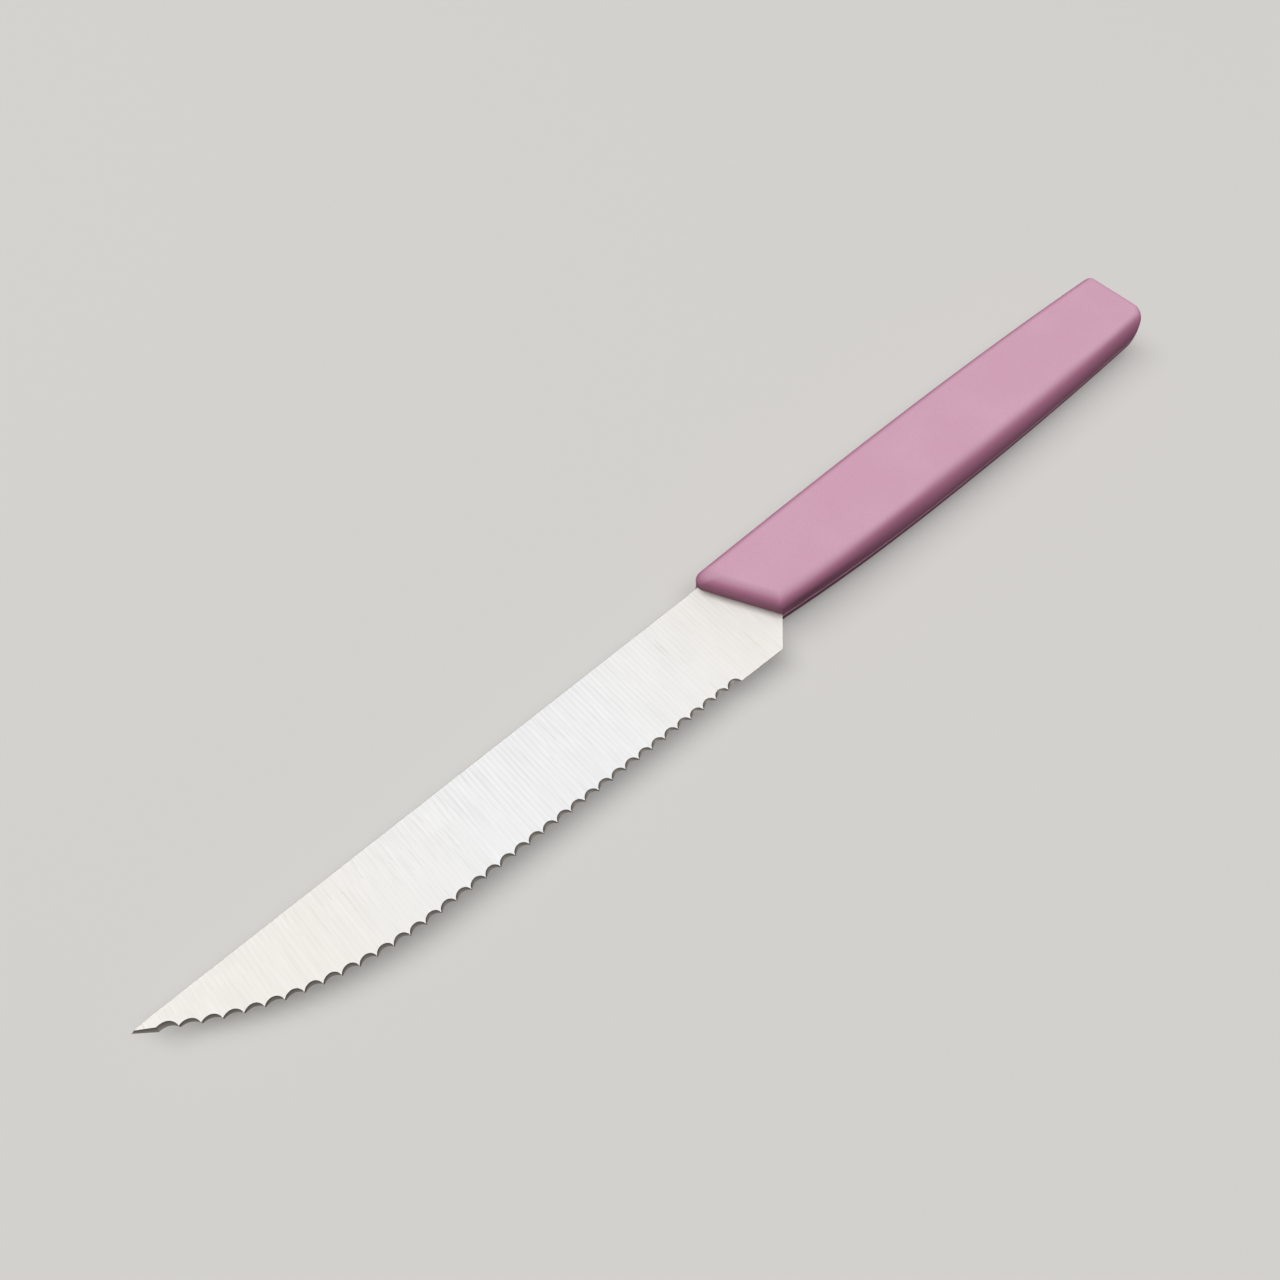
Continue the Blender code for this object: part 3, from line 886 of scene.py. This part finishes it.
        chords = [value for c in columns for share, _, _ in levels
                  for value in (*between(c.chord, c.left_chord, (share + 1) / 2), 0.0)]
        blank.data.attributes.new("chord", "FLOAT_VECTOR", "POINT").data.foreach_set("vector", chords)
        blank.data.attributes.new("bevel", "BOOLEAN", "FACE").data.foreach_set("value", bevels)
        return blank

    def grind(self, blank: bpy.types.Object, face: bpy.types.Material, bevel: bpy.types.Material) -> None:
        """Grind the blank's taper and scallops, and punch the tang.

        Each column of a scallop moves from the chord's middle to the wheel's arc. The wheel plunges
        square to the spine, so it bites less where the edge slants.

        Args:
            blank: the blank, which gets the Geometry Nodes tree.
            face: finish of the ground faces.
            bevel: finish of the ground edge bevels.
        """
        values = {
            "Left Depth": self.left_depth, "Right Depth": self.right_depth,
            "Spine Thickness": self.spine_thickness, "Edge Thickness": self.edge_thickness,
            "Heel Depth": self.heel_depth, "Thin Start": self.thin_start,
            "Thin Run": self.length - self.thin_start, "Tip Share": self.tip_share,
            "Hole Radius": self.tang_hole_radius, "Hole Count": self.tang_holes,
            "First Hole": Vector((self.pins.first, self.pins.depth, 0.0)),
            "Hole Pitch": Vector((self.pins.pitch, 0.0, 0.0)),
            "Origin": self.axes.place(0.0, 0.0, 0.0), "Scale": Vector((MM, MM, MM)),
            "Crease": self.crease, "Face Finish": face, "Bevel Finish": bevel}
        tree, given = new_tree("grind_scallops", values)
        start = add_node(tree, "ShaderNodeSeparateXYZ", {}, add_node(tree, "GeometryNodeInputPosition")).node
        chord = add_node(tree, "GeometryNodeInputNamedAttribute", {"data_type": "FLOAT_VECTOR"}, "chord")
        run = add_node(tree, "ShaderNodeSeparateXYZ", {}, chord).node
        known = {**given, "u": start.outputs["X"], "v": start.outputs["Y"], "share": start.outputs["Z"],
                 "run": run.outputs["X"], "climb": run.outputs["Y"]}
        for name in ("lift", "turn", "in_tang"):
            known[name] = add_node(tree, "GeometryNodeInputNamedAttribute", {"data_type": "FLOAT"}, name)
        # Each row is a name, an operation and its terms: numbers, names, or rows that need no name.
        formula = (
            ("length", "SQRT", ("", "MULTIPLY_ADD", "run", "run", ("", "MULTIPLY", "climb", "climb"))),
            ("slant", "DIVIDE", "run", "length"),
            ("left_share", "MULTIPLY_ADD", "share", 0.5, 0.5),
            ("depth", "MULTIPLY_ADD", "left_share", ("", "SUBTRACT", "Left Depth", "Right Depth"),
             "Right Depth"),
            ("rise", "MULTIPLY", "depth", ("", "MULTIPLY", "slant", "slant")),
            ("half_chord", "MULTIPLY", "length", 0.5),
            ("half_turn", "MULTIPLY", ("", "ARCTANGENT", ("", "DIVIDE", "rise", "half_chord")), 2.0),
            ("squares", "MULTIPLY_ADD", "rise", "rise", ("", "MULTIPLY", "half_chord", "half_chord")),
            ("radius", "DIVIDE", "squares", ("", "MULTIPLY", "rise", 2.0)),
            ("angle", "MULTIPLY", "half_turn", "turn"),
            ("side", "DIVIDE", ("", "MULTIPLY", "radius", ("", "SINE", "angle")), "length"),
            ("out", "MULTIPLY", "radius", ("", "SUBTRACT", ("", "COSINE", "angle"), 1.0)),
            ("deep", "DIVIDE", ("", "ADD", "out", "rise"), "length"),
            ("arc_u", "MULTIPLY_ADD", "run", "side", "u"),
            ("new_u", "SUBTRACT", "arc_u", ("", "MULTIPLY", "climb", "deep")),
            ("arc_v", "MULTIPLY_ADD", "climb", "side", "v"),
            ("new_v", "MULTIPLY_ADD", "run", "deep", "arc_v"),
            ("loss", "MULTIPLY", ("", "SUBTRACT", "Edge Thickness", "Spine Thickness"),
             ("", "DIVIDE", "new_v", "Heel Depth")),
            ("kept", "MULTIPLY_ADD", ("", "MULTIPLY", "loss", -1.0), "in_tang", "loss"),
            ("run_out", "DIVIDE", ("", "SUBTRACT", "new_u", "Thin Start"), "Thin Run"),
            ("past", "MAXIMUM", "run_out", 0.0),
            ("thinned", "MULTIPLY", ("", "SUBTRACT", "Tip Share", 1.0), ("", "MULTIPLY", "past", "past")),
            ("full", "MULTIPLY", ("", "ADD", "Spine Thickness", "kept"), 0.5),
            ("half", "MULTIPLY", "full", ("", "ADD", "thinned", 1.0)),
            ("new_z", "MULTIPLY_ADD", "share", "half", "lift"))

        def work_out(row: tuple) -> bpy.types.NodeSocket:
            """Add the node of one row of the formula, after those of the rows inside it."""
            terms = [work_out(t) if isinstance(t, tuple) else known.get(t, t) for t in row[2:]]
            known[row[0]] = add_node(tree, "ShaderNodeMath", {"operation": row[1]}, *terms)
            return known[row[0]]

        for row in formula:
            work_out(row)
        moved = add_node(tree, "ShaderNodeCombineXYZ", {}, known["new_u"], known["new_v"], known["new_z"])
        marked = add_node(tree, "GeometryNodeStoreNamedAttribute", {"data_type": "FLOAT", "domain": "POINT"},
                          given["Geometry"], True, WheelGroundSteel.across, known["share"])
        ground = add_node(tree, "GeometryNodeSetPosition", {}, marked, True, moved)
        bevelled = add_node(tree, "GeometryNodeInputNamedAttribute", {"data_type": "BOOLEAN"}, "bevel")
        punch = add_node(tree, "GeometryNodeMeshCylinder", {}, self.hole_steps, 1, 1, given["Hole Radius"],
                         self.punch_height)
        punched = add_node(tree, "GeometryNodeMeshBoolean", CUT, ground, row_of(tree, given, "Hole", punch))
        placed = add_node(tree, "GeometryNodeTransform", {}, punched, Translation=given["Origin"],
                          Scale=given["Scale"])
        finish_tree(tree, placed, given["Crease"],
                    [(given["Face Finish"], True), (given["Bevel Finish"], bevelled)])
        run_tree(blank, tree, values)

    def build(self, face: bpy.types.Material, bevel: bpy.types.Material) -> bpy.types.Object:
        """Build and dress the blade.

        Args:
            face: finish of the ground faces.
            bevel: finish of the ground edge bevels.

        Returns:
            The finished blade.
        """
        blade = self.blank()
        self.grind(blade, face, bevel)
        settle(blade, [])
        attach(blade, "root")
        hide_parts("blade")
        return blade


@dataclass(frozen=True)
class HandleShell:
    """One moulded shell of the handle, from the seam to its flat."""
    axes: KnifeAxes
    pins: PinRow
    blade: Blade
    side: Side
    length: float = 111.3
    half_thickness: float = 5.2
    front_slant: float = FRONT_SLANT
    spine_side: tuple[float, ...] = (-1.4, -1.84, -1.56, -0.2)
    belly_side: tuple[float, ...] = (13.05, 16.1, 16.8, 15.95)
    front_rounding: float = 2.4
    butt_rounding: float = 2.5
    side_rounding: float = 2.7
    front_recess: float = 0.55       # how far the front leans back where it meets the blade
    recess_top: float = 2.9
    recess_full: float = 0.6
    front_corners: Pair = (1.7, 0.35)  # at the spine and the belly, at every height
    firm_rounding: float = 2.9       # the left shell's belly starts with a tighter rounding
    firm_reach: Pair = (11.0, 40.0)  # which eases to the usual one over this reach
    soft_extra: float = 0.22         # and is wider by this share in the middle of the handle
    soft_reach: tuple[float, float, float, float] = (38.0, 48.0, 84.0, 100.0)
    front_spread: float = 0.3        # how much further out the belly starts
    spread_reach: Pair = (20.0, 60.0)
    butt_corners: Pair = (4.3, 2.2)  # at the belly and the spine, at the seam
    least_corner: float = 0.3
    seam_half_gap: float = 0.06
    seam_lip: float = 0.12
    lower_seam_lip: float = 0.28     # the right shell's cavity wore more at its edge
    mouth_gap: float = 0.06          # clearance round the blade
    wall: float = 2.0
    front_block: float = 14.0
    butt_wall: float = 2.6
    bays: int = 6
    rib_thickness: float = 1.6
    rib_block: Pair = (57.21, 20.8)  # what stands for a rib reaches past the hollow
    bay_corner: float = 1.2
    bay_rounding: float = 1.0
    boss_radius: float = 3.6
    boss_top: float = 0.25
    pin_count: int = 3
    pin_radius: float = 1.7
    pin_reach: float = 3.0
    pin_clearance: float = 0.3
    overcut: float = 1.0
    tangent_reach: float = 0.5
    meeting_turns: int = 20          # of the search for where an end meets a side
    lip_steps: int = 4
    pin_steps: int = 40
    corner_steps: int = 10
    belly_steps: int = 70
    spine_steps: int = 50
    rounding_steps: int = 22
    crease: float = math.radians(30.0)

    @property
    def label(self) -> str:
        """The side's name in small letters."""
        return self.side.name.lower()

    @staticmethod
    def rounded_inset(z: float, width: float, height: float, top: float) -> float:
        """Find how far a side has moved in where it rounds to the flat.

        Args:
            z: height above the seam.
            width: how far the side moves in altogether.
            height: over which height it does so.
            top: height of the flat.

        Returns:
            The inset.
        """
        start = top - height
        if z <= start:
            return 0.0
        return width * (1 - math.sqrt(max(0.0, 1 - ((z - start) / height) ** 2)))

    def side_curve(self, values: Sequence[float], inset: float) -> Curve:
        """A side's v as a function of u, moved by an inset."""
        return lambda u: cubic_through(values, -u / self.length) + inset

    def outline(self, front: Curve, butt: Curve, spine: Curve, belly: Curve,
                radii: Sequence[float]) -> list[Point]:
        """Close an outline between two ends and two sides, with rounded corners.

        Args:
            front: u of the front from v.
            butt: u of the butt from v.
            spine: v of the spine side from u.
            belly: v of the belly side from u.
            radii: radii at the corners spine-front, front-belly, belly-butt and butt-spine.

        Returns:
            The outline's points.
        """
        def meet(end: Curve, edge: Curve) -> Point:
            """Where an end meets a side."""
            v = 0.0
            for _ in range(self.meeting_turns):
                v = edge(end(v))
            return end(v), v

        def beside(corner: Point, edge: Curve, direction: int) -> Point:
            """A point of a side close to a corner."""
            u = corner[0] + direction * self.tangent_reach
            return u, edge(u)

        def run(edge: Curve, count: int, start: Point, end: Point) -> list[Point]:
            """Points of a side between two corners."""
            places = [start[0] + (end[0] - start[0]) * i / count for i in range(1, count)]
            return [(u, edge(u)) for u in places]

        first, second, third, fourth = (meet(front, spine), meet(front, belly),
                                        meet(butt, belly), meet(butt, spine))
        steps = self.corner_steps
        spine_front = round_corner(beside(first, spine, -1), first, second, radii[0], steps)
        front_belly = round_corner(first, second, beside(second, belly, -1), radii[1], steps)
        belly_butt = round_corner(beside(third, belly, 1), third, fourth, radii[2], steps)
        butt_spine = round_corner(third, fourth, beside(fourth, spine, 1), radii[3], steps)
        return [*spine_front, *front_belly, *run(belly, self.belly_steps, front_belly[-1], belly_butt[0]),
                *belly_butt, *butt_spine, *run(spine, self.spine_steps, butt_spine[-1], spine_front[0])]

    def belly_curve(self, z: float, lip: float, inset: float) -> Curve:
        """Shape the belly side at a height above the seam.

        It starts a little further out. On the left shell it starts tighter too, and is softer in the
        middle of the handle.

        Args:
            z: the height.
            lip: how far the outline is moved in all round.
            inset: how far the sides are moved in, with the lip.

        Returns:
            The belly's v as a function of u.
        """
        firm, extra = inset, 0.0
        if self.side is Side.LEFT:
            firm = self.rounded_inset(z, self.firm_rounding, self.firm_rounding, self.half_thickness) + lip
            extra = self.soft_extra * (inset - lip)
        plain = self.side_curve(self.belly_side, 0.0)

        def belly(u: float) -> float:
            """The belly's v at a place along the handle."""
            start, full, fade, end = self.soft_reach
            wide = smooth(-u, start, full) * (1 - smooth(-u, fade, end))
            spread = self.front_spread * (1 - smooth(-u, *self.spread_reach))
            soft = (inset - firm) * smooth(-u, *self.firm_reach)
            return plain(u) + spread - firm - soft - extra * wide

        return belly

    def section(self, z: float, lip: float) -> list[Point]:
        """Outline the shell at a height above the seam.

        Args:
            z: the height.
            lip: how far the outline is moved in all round.

        Returns:
            The outline's points.
        """
        top = self.half_thickness
        under = min(1.0, max(0.0, (self.recess_top - z) / (self.recess_top - self.recess_full)))
        front_in = self.rounded_inset(z, self.front_rounding, self.front_rounding, top) + lip
        front_in += self.front_recess * under
        butt_in = self.rounded_inset(z, self.butt_rounding, self.butt_rounding, top) + lip
        side_in = self.rounded_inset(z, self.side_rounding, top, top) + lip
        radii = [*self.front_corners]
        radii += [max(self.least_corner, radius - max(butt_in, side_in)) for radius in self.butt_corners]
        lean = math.tan(self.front_slant)
        return self.outline(lambda v: -v * lean - front_in / math.cos(self.front_slant),
                            lambda v: -self.length + butt_in,
                            self.side_curve(self.spine_side, side_in),
                            self.belly_curve(z, lip, side_in), radii)

    def stack(self, name: str, rings: Sequence[tuple[float, Sequence[Point]]]) -> bpy.types.Object:
        """Loft a solid through outlines at heights above the seam.

        Args:
            name: name of the solid.
            rings: heights and outlines, from the seam outwards.

        Returns:
            The solid in the frame, its faces outwards on either side.
        """
        ordered = rings if self.side is Side.LEFT else rings[::-1]
        return loft(name, [[self.axes.place(u, v, self.side.value * z) for u, v in points]
                           for z, points in ordered])

    def outer_form(self) -> bpy.types.Object:
        """Loft the outer form, with a small lip rounding at the seam.

        Returns:
            The form as a full solid.
        """
        lip = self.seam_lip if self.side is Side.LEFT else self.lower_seam_lip
        turns = [math.pi / 2 * step / self.lip_steps for step in range(self.lip_steps + 1)]
        rings = [(self.seam_half_gap + lip * (1 - math.cos(t)), lip * (1 - math.sin(t))) for t in turns]
        low = rings[-1][0]
        for step in range(1, self.rounding_steps + 1):
            height = self.half_thickness * math.sin(math.pi / 2 * step / self.rounding_steps)
            if height > low + lip:
                rings.append((height, 0.0))
        return self.stack(f"shell_{self.label}", [(z, self.section(z, inset)) for z, inset in rings])

    def cavity(self) -> bpy.types.Object:
        """Make the hollow behind the front block, before its ribs and bosses are left standing.

        Returns:
            The hollow as a solid.
        """
        ceiling = self.half_thickness - self.wall
        rings = []
        for z, inset in ((-self.overcut, 0.0), (ceiling - self.bay_rounding, 0.0),
                         (ceiling, self.bay_rounding)):
            points = self.outline(lambda v: -self.front_block - inset,
                                  lambda v: -self.length + self.butt_wall + inset,
                                  self.side_curve(self.spine_side, self.wall + inset),
                                  self.side_curve(self.belly_side, -self.wall - inset),
                                  [self.bay_corner] * 4)
            rings.append((z, points))
        return self.stack(f"cavity_{self.label}", rings)

    def leave_ribs(self, hollow: bpy.types.Object, finish: bpy.types.Material) -> None:
        """Leave ribs and bosses standing in the hollow.

        Args:
            hollow: what is cut out of the shell, which gets the Geometry Nodes tree.
            finish: the moulded plastic.
        """
        pitch = (self.length - self.front_block - self.butt_wall + self.rib_thickness) / self.bays
        first = -self.front_block - pitch + self.rib_thickness / 2
        height = self.half_thickness - self.wall + self.overcut - self.boss_top
        middle = self.side.value * (self.boss_top + height / 2)
        values = {
            "Rib Count": self.bays - 1, "First Rib": self.axes.place(first, self.pins.depth, 0.0),
            "Rib Pitch": Vector((-pitch, 0.0, 0.0)) * MM,
            "Rib Size": Vector((self.rib_thickness, *self.rib_block)) * MM,
            "Boss Count": self.pin_count,
            "First Boss": self.axes.place(self.pins.first, self.pins.depth, middle),
            "Boss Pitch": Vector((self.pins.pitch, 0.0, 0.0)) * MM,
            "Boss Radius": self.boss_radius * MM, "Boss Height": height * MM,
            "Crease": self.crease, "Finish": finish}
        tree, given = new_tree("leave_ribs_and_bosses", values)
        rib = add_node(tree, "GeometryNodeMeshCube", {}, given["Rib Size"])
        boss = add_node(tree, "GeometryNodeMeshCylinder", {}, self.pin_steps, 1, 1,
                        given["Boss Radius"], given["Boss Height"])
        bays = add_node(tree, "GeometryNodeMeshBoolean", CUT, given["Geometry"],
                        row_of(tree, given, "Rib", rib))
        result = add_node(tree, "GeometryNodeMeshBoolean", CUT, bays, row_of(tree, given, "Boss", boss))
        finish_tree(tree, result, given["Crease"], [(given["Finish"], True)])
        run_tree(hollow, tree, values)

    def set_pins(self, shell: bpy.types.Object, finish: bpy.types.Material) -> None:
        """Add the pins to the left shell, or cut their sockets into the right one.

        Args:
            shell: the shell, which gets the Geometry Nodes tree.
            finish: the moulded plastic.
        """
        ends = (self.half_thickness - self.wall + self.overcut / 2, -self.pin_reach)
        radius = self.pin_radius
        if self.side is Side.RIGHT:
            ends = (self.overcut, -self.pin_reach - self.pin_clearance)
            radius += self.pin_clearance
        values = {
            "Pin Count": self.pin_count,
            "First Pin": self.axes.place(self.pins.first, self.pins.depth, sum(ends) / 2),
            "Pin Pitch": Vector((self.pins.pitch, 0.0, 0.0)) * MM,
            "Pin Radius": radius * MM, "Pin Height": (ends[0] - ends[1]) * MM,
            "Crease": self.crease, "Finish": finish}
        tree, given = new_tree(f"pin_row_{self.label}", values)
        pin = add_node(tree, "GeometryNodeMeshCylinder", {}, self.pin_steps, 1, 1,
                       given["Pin Radius"], given["Pin Height"])
        pins = row_of(tree, given, "Pin", pin)
        if self.side is Side.LEFT:
            result = add_node(tree, "GeometryNodeMeshBoolean", JOIN, given["Geometry"])
            feed(result.node, [pins], {})
        else:
            result = add_node(tree, "GeometryNodeMeshBoolean", CUT, given["Geometry"], pins)
        finish_tree(tree, result, given["Crease"], [(given["Finish"], True)])
        run_tree(shell, tree, values)

    def slot_cutters(self) -> list[bpy.types.Object]:
        """Make the cutters for the blade's ground root and for its tang.

        Returns:
            The two cutters, each the blade's own shape grown by the clearance.
        """
        gap, blade = self.mouth_gap, self.blade
        slide = gap / math.sin(blade.choil_angle)
        root = blade.plunge_root()
        start = (-blade.plunge_setback, -gap)
        mouth = [(-blade.plunge_setback - gap, -gap), (blade.heel_depth, -gap),
                 (blade.heel_depth, blade.heel_depth), (-blade.heel_setback - slide, blade.heel_depth),
                 (root[0] - slide, root[1])]
        tang = [start, root, *blade.tang_points(gap)]
        cutters = []
        for name, outline, edge in (("mouth", mouth, blade.edge_thickness),
                                    ("tang_slot", tang, blade.spine_thickness)):
            loss = (edge - blade.spine_thickness) / blade.heel_depth
            rings = [[self.axes.place(u, v, sign * ((blade.spine_thickness + loss * v) / 2 + gap))
                      for u, v in outline] for sign in (-1, 1)]
            cutters.append(loft(f"{name}_{self.label}", rings))
        return cutters

    def build(self, finish: bpy.types.Material) -> bpy.types.Object:
        """Build and dress the shell.

        Args:
            finish: the moulded plastic.

        Returns:
            The finished shell.
        """
        shell = self.outer_form()
        hollow = self.cavity()
        self.leave_ribs(hollow, finish)
        cutters = [hollow, *self.slot_cutters()]
        for cutter in cutters:
            modifier = shell.modifiers.new(cutter.name, "BOOLEAN")
            modifier.operation = "DIFFERENCE"
            modifier.solver = "EXACT"
            modifier.object = cutter
        self.set_pins(shell, finish)
        settle(shell, cutters)
        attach(shell, "root")
        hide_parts(f"handle_{self.label}_shell")
        return shell


# Studio

@dataclass(frozen=True)
class Studio:
    """The pale floor, the soft light and the photograph's camera.

    The sizes of the floor and the softbox, and where the softbox hangs, are in metres.
    """
    axes: KnifeAxes
    floor_pale: str = "D2D0CD"
    floor_glow: float = 0.3          # share of the floor's own light in what is seen of it, softens shadows
    floor_bounce: str = "181716"     # what the floor gives back to the object's shaded sides
    floor_size: float = 2.6
    floor_drop: float = 0.02         # how far under the knife it lies, in millimetres
    floor_roughness: float = 0.9
    floor_gloss: float = 0.1
    backdrop: float = 0.8            # what a reflection sees at the horizon
    ceiling: float = 0.6
    ceiling_rise: Pair = (0.3, 0.75)  # where the one turns into the other
    fill: float = 0.12               # from straight above; towards the horizon it falls to the next value
    low_fill: float = 0.02
    fill_rise: Pair = (0.3, 1.0)
    softbox_size: Pair = (3.4, 1.1)  # along the handle's slanted front, and off it
    softbox_radiance: float = 4.4
    softbox_place: tuple[float, float, float] = (-0.18, -0.03, 1.9)    # the same two ways, and up
    front_slant: float = FRONT_SLANT
    camera_place: tuple[float, float, float] = (57.25, 61.72, 146.156)    # u, v and z of the lens
    camera_axes: tuple[tuple[float, float, float], ...] = (    # its right, its up and its back
        (-0.758443504, 0.650274616, -0.043662044),
        (-0.595033153, -0.663566695, 0.453447669),
        (0.265892830, 0.369894803, 0.890212805))
    lens: float = 26.016
    sensor: float = 36.0
    clip_start: float = 0.01

    def seen(self, tree: bpy.types.NodeTree) -> bpy.types.NodeSocket:
        """Add the test of whether a ray comes from the camera, a reflection or a refraction.

        Args:
            tree: the node tree that needs it.

        Returns:
            A socket that is 1 for such a ray and 0 for the others.
        """
        path = add_node(tree, "ShaderNodeLightPath").node
        seen = path.outputs["Is Camera Ray"]
        for name in ("Is Glossy Ray", "Is Transmission Ray"):
            seen = add_node(tree, "ShaderNodeMath", {"operation": "MAXIMUM"}, seen, path.outputs[name])
        return seen

    def floor(self) -> bpy.types.Object:
        """Lay the floor that the knife rests on.

        Returns:
            The floor, marked as stage.
        """
        half, low = self.floor_size / 2, -self.floor_drop * MM
        corners = [(-half, -half, low), (half, -half, low), (half, half, low), (-half, half, low)]
        floor = solid("studio_floor", corners, [(0, 1, 2, 3)])
        material, tree, shader = new_material("matt_paper_floor")
        seen, pale = self.seen(tree), linear(self.floor_pale)
        lit = (*[c * (1 - self.floor_glow) for c in pale[:3]], 1.0)
        mirrored = add_node(tree, "ShaderNodeMix", COLOUR, seen, linear(self.floor_bounce), pale)
        direct = add_node(tree, "ShaderNodeLightPath").node.outputs["Is Camera Ray"]
        feed(shader, (), {
            "Base Color": add_node(tree, "ShaderNodeMix", COLOUR, direct, mirrored, lit),
            "Emission Strength": add_node(tree, "ShaderNodeMath", TIMES, direct, self.floor_glow),
            "Emission Color": pale, "Roughness": self.floor_roughness,
            "Specular IOR Level": self.floor_gloss})
        floor.data.materials.append(material)
        return floor

    def light(self) -> None:
        """Hang a long softbox nearly overhead, in line with the handle's front, and fill the rest softly."""
        lamp = bpy.data.lights.new("softbox", "AREA")
        lamp.shape = "RECTANGLE"
        lamp.size, lamp.size_y = self.softbox_size
        lamp.energy = math.pi * lamp.size * lamp.size_y * self.softbox_radiance
        softbox = bpy.data.objects.new("softbox", lamp)
        along = Vector((-math.sin(self.front_slant), math.cos(self.front_slant), 0.0))
        off = Vector((math.cos(self.front_slant), math.sin(self.front_slant), 0.0))
        shift_along, shift_off, height = self.softbox_place
        place = Vector((0.0, 0.0, height)) + along * shift_along + off * shift_off
        away = place.normalized()
        across = away.cross(along).normalized()
        turn = Matrix((across.cross(away), across, away)).transposed().to_4x4()
        softbox.matrix_world = Matrix.Translation(place) @ turn
        bpy.context.collection.objects.link(softbox)
        world = bpy.data.worlds.new("studio")
        world.use_nodes = True
        bpy.context.scene.world = world
        tree = world.node_tree
        towards = add_node(tree, "ShaderNodeTexCoord")
        rise = add_node(tree, "ShaderNodeSeparateXYZ", {}, towards).node.outputs["Z"]
        shown = add_node(tree, "ShaderNodeMapRange", {}, rise, *self.ceiling_rise,
                         self.backdrop, self.ceiling)
        fill = add_node(tree, "ShaderNodeMapRange", {}, rise, *self.fill_rise, self.low_fill, self.fill)
        feed(tree.nodes["Background"], (), {
            "Color": linear("FFFFFF"),
            "Strength": add_node(tree, "ShaderNodeMix", {}, self.seen(tree), fill, shown)})

    def camera(self) -> bpy.types.Object:
        """Set up the camera at the photograph's viewpoint.

        Returns:
            The camera.
        """
        lens = bpy.data.cameras.new("photograph")
        lens.sensor_width = self.sensor
        lens.lens = self.lens
        lens.clip_start = self.clip_start
        camera = bpy.data.objects.new("photograph", lens)
        turn = Matrix(self.camera_axes).transposed().to_4x4()
        camera.matrix_world = Matrix.Translation(self.axes.place(*self.camera_place)) @ turn
        bpy.context.collection.objects.link(camera)
        bpy.context.scene.camera = camera
        return camera


def main() -> None:
    """Build the knife's looks in order: frame, steel, plastic, studio."""
    logging.basicConfig(level=logging.INFO, format="%(name)s %(message)s")
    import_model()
    low, high = (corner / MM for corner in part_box("blade"))
    axes = KnifeAxes(front=high.x - Blade.length, spine=low.y, middle=(low.z + high.z) / 2)
    pins = PinRow()
    blade = Blade(axes, pins)
    report(blade.build(CrossGroundSteel().material(), WheelGroundSteel().material()))
    plastic = SatinPlastic().material()
    for side in Side:
        report(HandleShell(axes, pins, blade, side).build(plastic))
    studio = Studio(axes)
    studio.floor()
    studio.light()
    camera = studio.camera()
    LOG.info("%s stands at %s", camera.name, [round(c, 4) for c in camera.location])
    bpy.context.scene.view_settings.view_transform = "Standard"


if __name__ == "__main__":
    main()
